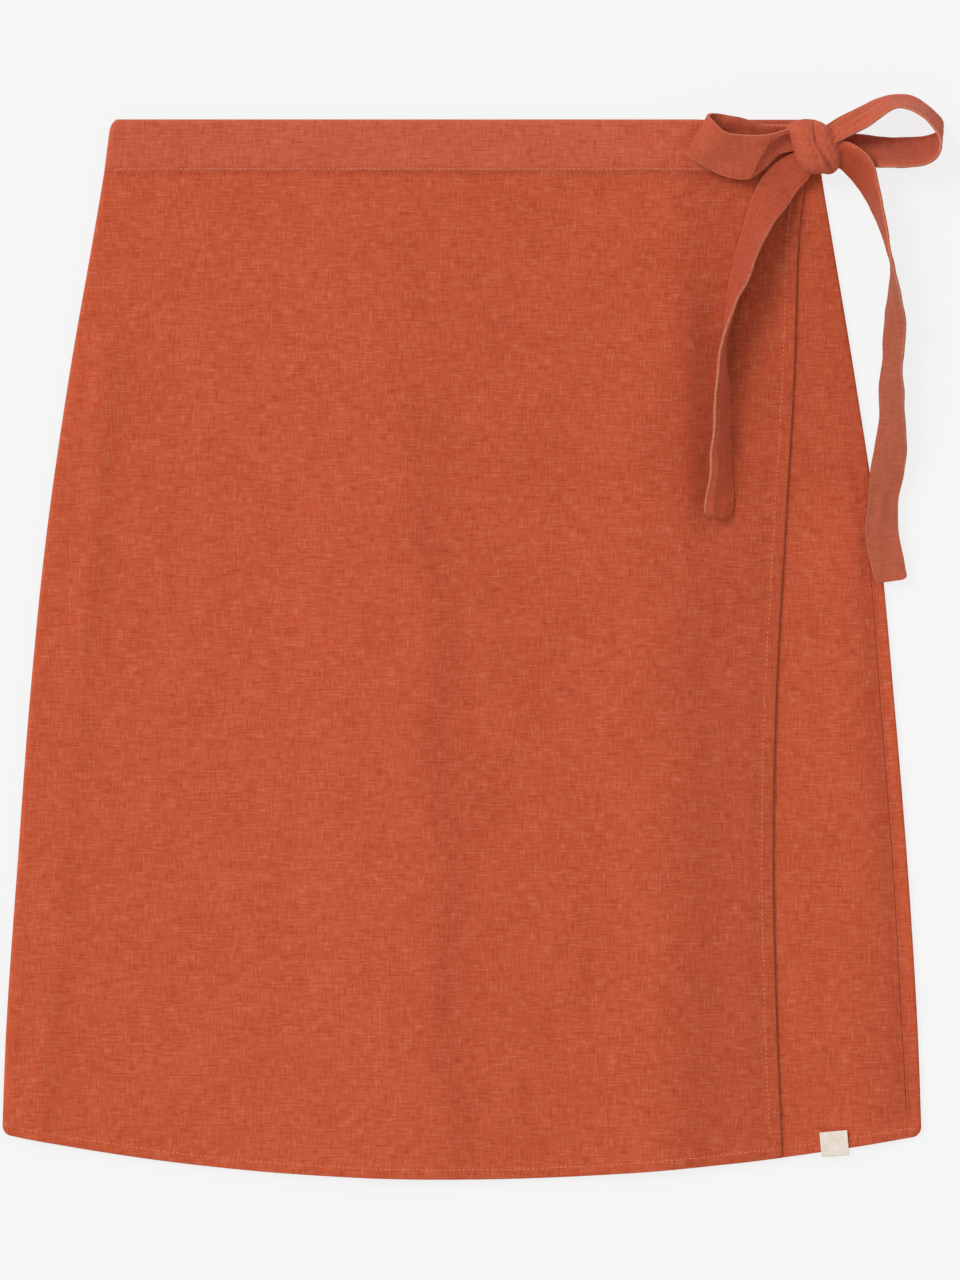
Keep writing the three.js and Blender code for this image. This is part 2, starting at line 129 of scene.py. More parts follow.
# Rows and columns of points, even but for where the form is fine: insets from the free edge, rises above the
# foot, dips below a panel's top, offsets from the side seam, and shares of the back's turned part
ACROSS = {"back": 60, "under": (26, 34), "over": 150, "band_under": (40, 12), "band_over": 190, "fold": 11}
DOWN = {"panel": 180, "band": 14}
EDGE_INSETS = (7.6, 7.0, 6.5, 6.1, 5.7, 5.2, 4.2, 2.8, 1.5, 0.7, 0.0)
BAND_INSETS = (1.5, 0.7, 0.0)
FOOT_RISES = (6.8, 6.2, 5.7, 5.3, 4.9, 4.4, 3.4, 2.2, 1.3, 0.6, 0.0)
BAND_RISES = (3.2, 2.6, 2.1, 1.6, 1.1, 0.6, 0.0)
WAIST_DIPS = (0.0, 0.9, 1.5, 2.1, 2.8, 3.6, 4.6)
SEAM_OFFSETS = (2.4, 1.6, 1.0, 0.6, 0.4, 0.2, 0, -0.2)
TURNED_SHARES = (0.3, 0.55, 0.7, 0.8, 0.87, 0.93, 0.97, 1)
HIDDEN_LAP = 8.0

# Creases of the fronts and of the waistband: how far each falls away to the left and right, its height, and
# the (drop, x) that it runs through. It fades over a share of its length, and a little past its ends.
CREASES = [
    (13, 6, 0.62, (100, -40), (205, -36), (275, -20), (346, -29), (410, -17), (475, -24), (540, -16)),
    (12, 5, 0.55, (75, 112), (180, 116), (300, 118), (420, 120), (556, 119)),
    (5, 6, 0.55, (70, -203), (150, -203), (216, -205), (270, -212), (330, -219)),
    (5, 5, 0.4, (446, -221), (480, -228), (516, -239)),
    (6, 5, 0.38, (308, -183), (360, -194), (412, -207)),
    (5, 4, 0.3, (388, -166), (412, -177), (440, -189)),
    (9, 7, 0.34, (44, -150), (130, -146), (236, -152)),
    (8, 9, 0.3, (330, -104), (420, -112), (530, -108)),
    (8, 6, 0.3, (60, 32), (150, 38), (262, 33)),
    (7, 8, 0.28, (360, 54), (450, 58), (548, 52)),
    (4, 3.5, 0.3, (60, 183), (110, 187), (170, 193)),
    (4, 4, 0.26, (330, 192), (420, 190), (520, 197)),
    (4, 3, 0.24, (230, 176), (300, 180), (380, 179)),
]
BAND_CREASES = [
    (4, 3, 0.26, (2, -42), (14, -49), (27, -57)),
    (3, 4, 0.2, (3, -141), (14, -146), (27, -149)),
    (5, 4, 0.22, (1, 42), (14, 38), (27, 31)),
    (3, 3, 0.2, (4, 98), (14, 101), (27, 99)),
]
MIDDLE_CREASE = table("drop x", CREASES[0][3:])
CREASE_ENDS = 0.3
CREASE_PAST = 0.2

# Light and shade painted on the panels, and a little plain tone, as shares of their colour: a broad change
# with its two ends, and a narrow one with its middle and spread. Some come and go down the skirt, at the
# drops
# listed below. Painted light: left of the over front's middle crease. Painted shade: in that crease's lee, on
# the over front's right part, on both sides of the left tail, at the under front's top by the knot, beside
# and in the right side seam, and below the waist seam. Plain tone: darker towards the right side, and lighter
# on the back's turned strip where the seam shows.
BROAD_SHADING_AND_TONE = {"left": (0.04, -16, 6), "right": (-0.095, 98, 124), "side": (-0.04, 200, 225),
              "under_top": (-0.06, 180, 240), "by_seam": (-0.10, -13, -2), "turned": (0.06, 430, 545)}
NARROW_PAINTED_SHADE = {"crease": (-0.035, 9, 9), "by_tail": (-0.17, 122, 9), "tail_shade": (-0.24, 0, 1.7),
               "seam_line": (-0.05, -1.0, 1.2), "waist": (-0.1, 0.9, 1.6)}
PAINTED_SHADE_DROPS = {"crease": (180, 300), "by_tail": ((60, 120), (185, 235)), "tail_shade": ((62, 90), (135, 158))}
# The line where the left tail's painted shadow lies on the over front, as x by drop
TAIL_SHADE = table("drop x", [(62, 157), (80, 149.6), (97, 143.3), (117, 139.8), (135, 138), (155, 137.6)])
TURNED_FADE = 1.4
# The hidden waistband's painted shade, for the strip of it that shows under the over band's dip
UNDER_BAND_PAINTED_SHADE = 0.78

# Stitches: how long, how far apart and how thick they are, how deep they sit, and how uneven all that is. The
# waist's have their own thickness, and the tie's are a share as thick as the others. A stitch points as its
# row does over a step to each side, and is at most TALLEST_STITCH times as high as the others.
STITCH = {"long": 1.7, "pitch": 2.5, "thick": 0.56, "sink": (0.0, 0.18)}
UNEVEN = {"pitch": (-0.12, 0.12), "swing": (-0.1, 0.1), "long": (0.8, 1.15), "sway": (-0.22, 0.22)}
STITCH_GROOVE = {"spread": 0.55, "depth": 0.16}
WAIST_THICK = 1.15
TIE_THICK = 0.8
TALLEST_STITCH = 1.25
STITCH_STEP = 0.4

# Where a stitch row runs, in from its hem or seam, and how far it stops short of its two ends
FOOT_STITCH = 5.3
EDGE_STITCH = 6.1
WAIST_STITCH = 1.45
ROW_ENDS = {"waist": (4, 1), "foot": (6, 1), "edge": (2, 22), "side": (3, 3)}

# Puckers along stitched hems and the waist seam, the valley below that seam, how the waistband rolls in, and
# how far off in the waves it takes its puckers and rumples from
PUCKER_SPREAD = {"hem": 4.5, "waist": 6.0}
VALLEY = {"depth": 0.22, "drop": 2.2, "spread": 2.2}
ROLL_FOOT = {"depth": 0.85, "spread": 2.6}
ROLL_TOP = {"depth": 0.35, "spread": 0.8}
RELIEF_FADE = 30.0
LOWEST_RELIEF = -0.5
BAND_RUMPLE = 0.7
PUCKERS_APART = 31.0
RUMPLES_APART = 900.0

LABEL = {"x": 194.1, "y": -273.3, "width": 15.0, "height": 13.5, "turn": 5.2, "thickness": 1.0, "lift": 0.35,
         "curl": 0.35, "ripple": 0.12}

# The tie: its wall, its real width, and its knot's middle and half height. Its stretches are stations from
# there: their place, the angles of the cloth's width seen from above and up from the floor, and that width,
# with how deep the cloth is tucked and how far across the tuck reaches.
TIE_WALL = 1.5
TIE_WIDTH = 23.5
KNOT = {"x": 182.9, "y": 263.5, "z": 14.3, "high": 8.3}
STATION = "x y z across rise width"
LOOP_LEFT = table(STATION + " tuck fold", [
    (-5, 6, 9.5, 95, 12, 11, 0, -1.6),
    (-14, 5, 8.6, 94, 10, 13, 0, -1.6),
    (-26, 3.2, 8, 92, 8, 19, 0, -1.6),
    (-40.1, 4.9, 8, 88, 7, 23, 0, -1.6),
    (-55.8, 7.9, 8.6, 68, 7, 23.4, 0, -1.6),
    (-63.0, 7.4, 12.2, 61, 8, 23.4, 0, -1.6),
    (-57.9, 2.2, 15.6, 66, 14, 24, 0, -1.6),
    (-47.1, -4.0, 15.4, 84, 20, 24.6, 0, -1.6),
    (-35.2, -5.1, 14.9, 87, 20, 24, 0.3, -1.25),
    (-25, -2.2, 15.6, 82, 19, 19, 3.0, 0.2),
    (-16, 2.4, 15.8, 80, 16, 15, 3.6, 0.5),
    (-6, 4.5, 14.5, 85, 10, 12, 3.0, 0.5),
])
LOOP_RIGHT = table(STATION, [
    (6, 5, 15, -70, 30, 12),
    (17.8, 12.2, 14.2, -72, 44, 17),
    (32.2, 20.4, 12.2, -66, 60, 21),
    (43, 24.8, 12, -80, 68, 23),
    (51.8, 24.2, 12, -90, 68, 23),
    (60.6, 18.9, 12, -96, 66, 23),
    (68.3, 9.2, 11.6, -100, 60, 23),
    (67.4, 2.4, 11.2, -98, 52, 23.5),
    (60, -1.2, 10.6, -90, 47, 24),
    (50.8, -2.4, 10.4, -88, 47, 24),
    (41, -2.6, 10.4, -88, 46, 24),
    (30.4, -1.6, 9.8, -86, 36, 21.5),
    (19, 0.2, 9.2, -84, 22, 14.5),
    (6, 1.5, 10.6, -84, 20, 9),
])
TAIL_LEFT = table(STATION, [
    (-3, -5, 9.7, -38, 0, 13),
    (-10.5, -11.5, 8.3, -37, 0, 18),
    (-17, -18, 7.6, -34, 4, 20),
    (-23.2, -27.6, 9.2, -26, 18, 20.5),
    (-30.6, -42, 13.2, -18, 47, 20),
    (-39.1, -66.4, 14.4, -14, 60, 19.5),
    (-43.6, -82, 14.8, -10, 74, 19),
    (-47.6, -102, 15.0, -6, 89, 18.5),
    (-49.0, -128, 14.6, -3, 105, 17.5),
    (-49.4, -160.9, 13.2, -1, 119, 17.5),
    (-50.2, -187, 11.8, -1, 135, 17.5),
    (-51.5, -199.5, 11.4, -1, 141, 17.5),
])
TAIL_RIGHT = table(STATION, [
    (7, -4.2, 15.2, 88, 6, 12),
    (16, -4.6, 15.6, 76, 16, 15.5),
    (25, -12, 14.8, 52, 40, 18),
    (30.5, -23, 12.6, 34, 60, 18),
    (35.2, -36, 10.9, 18, 76, 18),
    (40.2, -54, 10.6, 8, 88, 17),
    (42.6, -66, 10.5, 2, 90, 16.5),
    (43.3, -80, 10, -2, 71, 18),
    (43.5, -99, 8.9, -4, 54, 18),
    (41.9, -125, 8.6, -5, 53, 18),
    (42.2, -152, 7.6, -5, 38, 18),
    (40, -172.3, 6.2, -2, 8, 18.5),
    (37.4, -190, 6, 2, -3, 17),
    (37, -210, 5.9, 4, -6, 17.8),
    (40, -224.6, 5.7, 6, -6, 18),
    (42, -233.5, 5.6, 8, -6, 18),
])

# Camera and light
PHOTO_MIDDLE = (2.97, -1.62)
PHOTO_HEIGHT = 691.2
LENS = 200.0
SENSOR = 36.0
FLOOR_HALF = 6000.0
KEY = {"turn": 148.0, "height": 44.0, "strength": 1.72, "softness": 26.0}
FILL = 0.645


def along(rows, at, column):
    """A table's column where its first column has these values, on a smooth curve through its rows."""
    k, v = next(iter(rows.values())), rows[column]
    at = np.asarray(at, float)
    i = np.clip(np.searchsorted(k, at) - 1, 0, len(k) - 2)
    ends = np.stack([np.maximum(np.arange(len(k)) - 1, 0), np.minimum(np.arange(len(k)) + 1, len(k) - 1)])
    slope = (v[ends[1]] - v[ends[0]]) / (k[ends[1]] - k[ends[0]])
    span = k[i + 1] - k[i]
    t = (at - k[i]) / span
    return ((1 - 3 * t ** 2 + 2 * t ** 3) * v[i] + (3 * t ** 2 - 2 * t ** 3) * v[i + 1]
            + span * ((t - 2 * t ** 2 + t ** 3) * slope[i] + (t ** 3 - t ** 2) * slope[i + 1]))


def smooth(at, start, end):
    """0 before start, 1 after end, and a soft rise between them."""
    t = np.clip((at - start) / (end - start), 0, 1)
    return t * t * (3 - 2 * t)


def mound(off, spread):
    """1 at the middle of a soft mound, falling away on both sides."""
    return np.exp(-(off / spread) ** 2)


def within(at, starts, ends):
    """1 between two soft ends, and 0 beyond them."""
    return smooth(at, *starts) * (1 - smooth(at, *ends))


def lerp(a, b, share):
    """The value a share of the way from a to b."""
    return a + (b - a) * share


def held(rows, at):
    """A table's x on its smooth curve, level beyond its ends."""
    keys = next(iter(rows.values()))
    return along(rows, np.clip(at, keys[0], keys[-1]), "x")


def unit(vectors):
    """Vectors made one long."""
    return vectors / np.linalg.norm(vectors, axis=1, keepdims=True)


def distance_along(line):
    """How far along a line of points each of them is."""
    return np.concatenate([[0], np.cumsum(np.linalg.norm(np.diff(line, axis=0), axis=1))])


def hem_drop(x):
    """The hem's drop across the skirt."""
    side = np.where(np.asarray(x) < HEM_LOWEST_X, 0, 1)
    rise, reach = np.array(HEM_RISE)[side], np.array(HEM_REACH)[side]
    return LENGTH - rise * ((x - HEM_LOWEST_X) / reach) ** 2


def corner_inset(at, foot, radius):
    """How far a round corner cuts in from the side, towards the foot."""
    below = np.clip(at - (foot - radius), 0, radius)
    return radius - np.sqrt(radius ** 2 - below ** 2)


def left_at(drop):
    return along(CUT, drop, "left") + corner_inset(drop, LEFT_CORNER_FOOT, HEM_CORNER)


def right_at(drop):
    return along(CUT, drop, "right") - corner_inset(drop, RIGHT_CORNER_FOOT, HEM_CORNER)


def left_seam_at(drop):
    return along(CUT, drop, "left") + LEFT_SEAM_INSET


def right_seam_at(drop):
    return along(CUT, drop, "seam")


def edge_at(drop):
    return along(CUT, drop, "edge")


def level(layer, wall):
    """Mid-wall height of a layer: 0 the back, 1 the under front, 2 the over front."""
    return wall / 2 + layer * (wall + GAP)


def lift(x, drop):
    """How far the soft folds raise the fronts."""
    height = 0.0 * x
    for top_x, foot_x, spread, high, start in zip(*SOFT_FOLDS.values()):
        crest = lerp(top_x, foot_x, drop / LENGTH)
        height = height + high * smooth(drop, start, start + FOLD_FADE) * mound(x - crest, spread)
    return height


def creased(x, drop, creases):
    """The height of creases that run down the cloth, each steeper on one side."""
    height = 0.0 * x
    for left, right, high, *points in creases:
        first, last = points[0][0], points[-1][0]
        off = x - held(table("drop x", points), drop)
        fade = CREASE_ENDS * (last - first)
        past = CREASE_PAST * fade
        ends = within(drop, (first - past, first + fade), (last - fade, last + past))
        height = height + high * ends * mound(off, np.where(off < 0, left, right))
    return height


def waves(seed, count, short, long, slope):
    """A ripple made of many waves between two lengths, of about that slope in all."""
    rng = np.random.default_rng(seed)
    length = rng.uniform(short, long, count)
    way = rng.uniform(0, math.pi, count)
    phase = rng.uniform(0, 2 * math.pi, count)
    height = slope * length / (2 * math.pi) * math.sqrt(2 / count)

    def at(x, y):
        total = 0.0 * x
        for n in range(count):
            run = x * math.cos(way[n]) + y * math.sin(way[n])
            total = total + height[n] * np.cos(2 * math.pi * run / length[n] + phase[n])
        return total

    return at


def hem_form(inside, stitch_at, width, run):
    """How proud a turned hem stands, with the groove of its stitching and the puckers along it."""
    proud = HEM_PROUD * (1 - smooth(inside, width - 0.1, width + HEM_SOFT))
    proud = proud - 0.5 * HEM_PROUD * (1 - smooth(inside, 0, HEM_SOFT))
    pucker = HEM_PUCKER(run, 0.0 * run) * mound(inside - stitch_at, PUCKER_SPREAD["hem"])
    return proud - groove(inside - stitch_at) + pucker


def groove(off):
    """The groove that a row of stitches pulls in the cloth."""
    return STITCH_GROOVE["depth"] * mound(off, STITCH_GROOVE["spread"])


def seam_shown(drop):
    """How far the side seam opens: shut by the waist and again in the hem."""
    return within(drop, SEAM_OPENS, SEAM_CLOSES)


def broad_shading_and_tone(name, at):
    """A broad change that comes in between its ends: painted light and shade for most, plain tone for the
    rest.
    """
    strength, start, end = BROAD_SHADING_AND_TONE[name]
    return strength * smooth(at, start, end)


def narrow_painted_shade(name, at):
    """A narrow band of painted shade."""
    strength, middle, spread = NARROW_PAINTED_SHADE[name]
    return strength * mound(at - middle, spread)


def over_painted_shading(x, drop):
    """Painted light and shade on the over front: lighter left of its middle crease, painted shade in the
    crease's lee, below the waist seam, on both sides of the left tail and on its right part.
    """
    off = x - held(MIDDLE_CREASE, drop)
    tone = 1 + BROAD_SHADING_AND_TONE["left"][0] - broad_shading_and_tone("left", off) + broad_shading_and_tone("right", x)
    tone = tone + narrow_painted_shade("waist", drop - BAND_DEPTH)
    tone = tone + narrow_painted_shade("crease", off) * smooth(drop, *PAINTED_SHADE_DROPS["crease"])
    tone = tone + narrow_painted_shade("by_tail", x) * within(drop, *PAINTED_SHADE_DROPS["by_tail"])
    from_shade = x - held(TAIL_SHADE, drop)
    return tone + narrow_painted_shade("tail_shade", from_shade) * within(drop, *PAINTED_SHADE_DROPS["tail_shade"])


def under_shading_and_tone(x, drop):
    """The under front's tone: painted shade at its top, below the waist seam and by the seam, and darker
    towards the side.
    """
    off = x - right_seam_at(drop)
    by_seam = broad_shading_and_tone("by_seam", off) + narrow_painted_shade("seam_line", off)
    plain = 1 + broad_shading_and_tone("side", x) + BROAD_SHADING_AND_TONE["under_top"][0] - broad_shading_and_tone("under_top", drop)
    return plain + by_seam * seam_shown(drop) + narrow_painted_shade("waist", drop - BAND_DEPTH)


def back_shading_and_tone(x, drop):
    """The back's tone where it turns up to the front: darker where the seam is shut, by the under front's
    side tone and the painted shade at its top; lighter where the seam shows, down to the hem.
    """
    closed = 1 + BROAD_SHADING_AND_TONE["side"][0] + BROAD_SHADING_AND_TONE["under_top"][0]
    shown = 1 + BROAD_SHADING_AND_TONE["turned"][0] - TURNED_FADE * broad_shading_and_tone("turned", drop)
    return lerp(closed, shown, smooth(drop, *SEAM_OPENS)) + 0.0 * x


def plain_tone(tone):
    """The same tone all over."""
    return lambda x, drop: tone + 0.0 * x


SOFT_RUMPLE = waves(3, 26, 22, 80, 0.024)
FINE_RUMPLE = waves(5, 30, 8, 18, 0.016)
HEM_PUCKER = waves(7, 9, 5, 11, 0.07)


def front_relief(x, drop, with_edge):
    """What a front's face has above its plain form: hems, creases, rumples and the pull of the waist seam."""
    relief = creased(x, drop, CREASES) + SOFT_RUMPLE(x, drop) + FINE_RUMPLE(x, drop)
    hem = hem_form(hem_drop(x) - drop, FOOT_STITCH, FOOT_HEM, x)
    if with_edge:
        hem = np.maximum(hem, hem_form(edge_at(drop) - x, EDGE_STITCH, EDGE_HEM, drop))
    below_waist = drop - BAND_DEPTH
    pull = HEM_PUCKER(x, 0.0 * x) * mound(below_waist, PUCKER_SPREAD["waist"])
    pull = pull - VALLEY["depth"] * mound(below_waist - VALLEY["drop"], VALLEY["spread"])
    return np.maximum(relief * smooth(below_waist, 0, RELIEF_FADE) + hem + pull, LOWEST_RELIEF)


def band_relief(x, drop):
    """The waistband's face: faint creases, the groove of its stitching and puckers along it."""
    from_seam = BAND_DEPTH - drop
    off = from_seam - WAIST_STITCH
    pucker = HEM_PUCKER(x + PUCKERS_APART, 0.0 * x) * mound(off, PUCKER_SPREAD["waist"])
    rumple = SOFT_RUMPLE(x, drop + RUMPLES_APART) + FINE_RUMPLE(x, drop + RUMPLES_APART)
    roll = ROLL_FOOT["depth"] * mound(from_seam, ROLL_FOOT["spread"])
    roll = roll + ROLL_TOP["depth"] * mound(drop, ROLL_TOP["spread"])
    return creased(x, drop, BAND_CREASES) + BAND_RUMPLE * rumple + pucker - groove(off) - roll


def over_height(x, drop, wall):
    """Mid-wall height of the over front or its waistband."""
    settled = smooth(x - left_at(drop) - wall / 2 - LEFT_FOLD, 0, SETTLE_LEFT)
    return lerp(wall / 2 + 2 * LEFT_FOLD, level(2, wall), settled) + lift(x, drop)


def under_height(x, drop, wall):
    """Mid-wall height of the under front or its waistband."""
    seam_x = right_seam_at(drop)
    beyond = smooth(x, edge_at(drop), seam_x)
    raised = lift(x, drop) * lerp(UNDER_SHARE, 1, beyond) * smooth(seam_x - x, 0, SETTLE_RIGHT)
    return lerp(level(1, wall), wall / 2 + 2 * RIGHT_FOLD, beyond) + raised


def seam_ridge(x, drop):
    """The low ridge along the right side's seam."""
    return SEAM_RIDGE * seam_shown(drop) * mound(x - right_seam_at(drop), SEAM_SPREAD)


def over_face(x, drop):
    return over_height(x, drop, PANEL_WALL) + PANEL_WALL / 2 + front_relief(x, drop, True)


def under_face(x, drop):
    off = x - right_seam_at(drop)
    tucked = lerp(*SEAM_TUCK, seam_shown(drop)) * smooth(off, *SEAM_TUCK_ENDS)
    raised = seam_ridge(x, drop) + front_relief(x, drop, False) * smooth(-off, 0, SETTLE_RIGHT)
    return under_height(x, drop, PANEL_WALL) + PANEL_WALL / 2 + raised - tucked


def band_face(x, drop):
    return over_height(x, drop, BAND_WALL) + BAND_WALL / 2 + band_relief(x, drop)


def under_band_face(x, drop):
    return under_height(x, drop, BAND_WALL) + BAND_WALL / 2 + band_relief(x, drop)


def cloth_column(place_at, face_at=None):
    """A column of cloth: its place, height and way out, at each drop. With no face it lies face down."""
    def at(drop):
        x = place_at(drop)
        flat = 0.0 * x
        if face_at is None:
            return x, flat, flat, flat - 1.0
        return x, face_at(x, drop), flat, flat + 1.0

    return at


def columns_between(start_at, end_at, shares, face_at=None):
    """Columns at shares of the way between two places."""
    def place(share):
        return lambda drop: lerp(start_at(drop), end_at(drop), share)

    return [cloth_column(place(share), face_at) for share in shares]


def fold_columns(side, radius, wall):
    """Columns round a side fold, from the underside to the top. Side is -1 at the left, 1 at the right."""
    outline_at = left_at if side < 0 else right_at
    reach = radius + wall / 2

    def turned_column(turn):
        def at(drop):
            out_x, out_z = side * math.cos(turn), math.sin(turn)
            x = outline_at(drop) - side * reach + reach * out_x
            return x, reach + reach * out_z + 0.0 * x, out_x + 0.0 * x, out_z + 0.0 * x

        return at

    return [turned_column(turn) for turn in np.radians(np.linspace(-90, 90, ACROSS["fold"]))]


def inside_edge(inset):
    """A place that far in from the free edge, at any drop."""
    return lambda drop: edge_at(drop) - inset


def by_seam(offset):
    """A place that far in from the right side's seam, at any drop."""
    return lambda drop: right_seam_at(drop) - offset


def over_columns(wall, face_at, count, insets):
    """Columns of the over front: from the left seam, round the left fold, to the free edge."""
    reach = wall / 2 + LEFT_FOLD

    def start_at(drop):
        return left_at(drop) + reach

    seam = columns_between(left_seam_at, start_at, (0, 0.5))
    plain = columns_between(start_at, inside_edge(insets[0]), np.linspace(0, 1, count)[1:], face_at)
    hem = [cloth_column(inside_edge(inset), face_at) for inset in insets[1:]]
    return seam + fold_columns(-1, LEFT_FOLD, wall) + plain + hem


def under_columns(face_at, hidden, shown):
    """Columns of the under front: from its hidden free edge to the right side's seam."""
    def hidden_start(drop):
        return UNDER_EDGE_X + 0.0 * drop

    shown_start = inside_edge(HIDDEN_LAP)
    under = columns_between(hidden_start, shown_start, np.linspace(0, 1, hidden)[:-1], face_at)
    side = columns_between(shown_start, by_seam(SEAM_OFFSETS[0]), np.linspace(0, 1, shown), face_at)
    seam = [cloth_column(by_seam(offset), face_at) for offset in (*SEAM_OFFSETS[1:], -SEAM_LAP)]
    return under + side + seam


def turned_face(x, drop, reach, ridge):
    """The face of the back where it turns up to the front, with its hem and the seam's ridge."""
    hem = hem_form(hem_drop(x) - drop, FOOT_STITCH, FOOT_HEM, x)
    return 2 * reach + ridge * (seam_ridge(x, drop) + hem)


def side_face(x, drop):
    """The face on both sides of the right side seam."""
    turned = turned_face(x, drop, PANEL_WALL / 2 + RIGHT_FOLD, 1.0)
    return np.where(x < right_seam_at(drop), under_face(x, drop), turned)


def back_columns(wall, ridge):
    """Columns of the back: from the left seam, round the right fold, to the seam on the front."""
    reach = wall / 2 + RIGHT_FOLD

    def fold_at(drop):
        return right_at(drop) - reach

    def seam_at(drop):
        return right_seam_at(drop) + lerp(*SEAM_GAP, seam_shown(drop))

    def top_at(x, drop):
        return turned_face(x, drop, reach, ridge)

    flat = columns_between(left_seam_at, fold_at, np.linspace(0, 1, ACROSS["back"])[:-1])
    top = columns_between(fold_at, seam_at, TURNED_SHARES, top_at)
    return flat + fold_columns(1, RIGHT_FOLD, wall) + top


def row_drops(top_at, foot_at, count, rises, dips=(0.0,)):
    """The drops of a layer's rows: dips below its top, even ones, and rises above its foot."""
    even = np.linspace(0, 1, count)
    first, last = np.zeros(len(dips) - 1), np.ones(len(rises) - 1)
    share = np.concatenate([first, even, last])
    down = np.concatenate([dips[:-1], dips[-1] * (1 - even), 0 * last])
    up = np.concatenate([first, rises[0] * even, rises[1:]])
    return lambda x: top_at(x) + (foot_at(x) - top_at(x)) * share + down - up


def layer_grids(columns, drops_at, thickness, tone_at):
    """A layer's outer points, its inner ones, its weave's coordinates and its tone."""
    outer, inner, tone = [], [], []
    for column in columns:
        drop = drops_at(column(drops_at(0.0))[0])
        x, z, out_x, out_z = column(drop)
        face = np.stack([x, WAIST_Y - drop, z], axis=-1)
        out = np.stack([out_x, 0 * x, out_z], axis=-1)
        outer.append(face)
        inner.append(face - thickness * out)
        tone.append(tone_at(x, drop))
    outer, inner, tone = [np.stack(grid, axis=1) for grid in (outer, inner, tone)]
    middle = outer[len(outer) // 2]
    lean = outer[:, :, 0] - middle[:, 0]
    turned = np.sign(np.gradient(middle[:, 0]))
    weave = np.stack([distance_along(middle) + lean * turned, outer[:, :, 1]], -1)
    return outer, inner, weave, tone


def rim_of(number):
    """The rows and columns of a grid's border, as a ring, and of the neighbour inside each of its points."""
    ring = np.concatenate([number[0], number[1:, -1], number[-1, -2::-1], number[-2:0:-1, 0]])
    at = np.unravel_index(ring, number.shape)
    return at, tuple(np.clip(place, 1, size - 2) for place, size in zip(at, number.shape))


def ring_quads(ring):
    """Quads between rings of point numbers."""
    beside = np.roll(ring, -1, axis=1)
    return np.stack([ring[:-1], beside[:-1], beside[1:], ring[1:]], -1).reshape(-1, 4)


def shell(name, outer, inner, weave, tone, material):
    """A closed mesh between an outer and an inner grid, with a rounded rim."""
    number = np.arange(outer[..., 0].size).reshape(outer.shape[:2])
    size = number.size
    ring, inside = rim_of(number)
    edge_out, edge_in = outer[ring], inner[ring]
    way = edge_out - outer[inside]
    room = np.linalg.norm(way, axis=1, keepdims=True)
    wall = np.linalg.norm(edge_out - edge_in, axis=1, keepdims=True)
    bulge = way / np.maximum(room, 1e-6) * np.minimum(wall * RIM_BULGE, room / 2)
    rim = (edge_out + edge_in) / 2
    outer[ring] = edge_out - bulge
    inner[ring] = edge_in - bulge
    points = np.concatenate([outer.reshape(-1, 3), inner.reshape(-1, 3), rim])
    quads = np.stack([number[:-1, :-1], number[:-1, 1:], number[1:, 1:], number[1:, :-1]], -1).reshape(-1, 4)
    edge = number[ring]
    beyond = np.roll(edge, -1)
    middle = 2 * size + np.arange(len(edge))
    after = np.roll(middle, -1)
    faces = np.concatenate([
        quads,
        quads[:, ::-1] + size,
        np.stack([edge, middle, after, beyond], -1),
        np.stack([middle, edge + size, beyond + size, after], -1),
    ])
    weave, tone = weave.reshape(size, -1), tone.reshape(size, -1)
    weave, tone = [np.concatenate([grid, grid, grid[edge]]) for grid in (weave, tone)]
    wear = np.zeros(len(points))
    wear[np.concatenate([edge, edge + size, middle])] = 1.0
    return mesh_object(name, points, faces.tolist(), weave, wear, tone, material)


def placed(name, data):
    """A new object in the scene."""
    made = bpy.data.objects.new(name, data)
    bpy.context.scene.collection.objects.link(made)
    return made


def mesh_object(name, points, faces, weave, wear, tone, material):
    """An object from points and weave coordinates in millimetres, a list of faces, and its wear and tone."""
    mesh = bpy.data.meshes.new(name)
    mesh.from_pydata((points * MM).tolist(), [], faces)
    layer = mesh.uv_layers.new(name="Weave")
    corners = np.zeros(len(mesh.loops), np.int32)
    mesh.loops.foreach_get("vertex_index", corners)
    layer.uv.foreach_set("vector", (weave[corners] * MM).astype(np.float32).ravel())
    tint = np.broadcast_to(tone, (len(points), 3)).astype(np.float32)
    mesh.attributes.new("wear", "FLOAT", "POINT").data.foreach_set("value", wear.astype(np.float32))
    # The tone is a colour factor: painted light and shade on the panels and the tie, plain tone in a few
    # places, 1 elsewhere
    mesh.attributes.new("tone", "FLOAT_VECTOR", "POINT").data.foreach_set("vector", tint.ravel())
    work = bmesh.new()
    work.from_mesh(mesh)
    bmesh.ops.recalc_face_normals(work, faces=work.faces)
    work.to_mesh(mesh)
    work.free()
    mesh.polygons.foreach_set("use_smooth", np.ones(len(mesh.polygons), bool))
    mesh.materials.append(material)
    return placed(name, mesh)


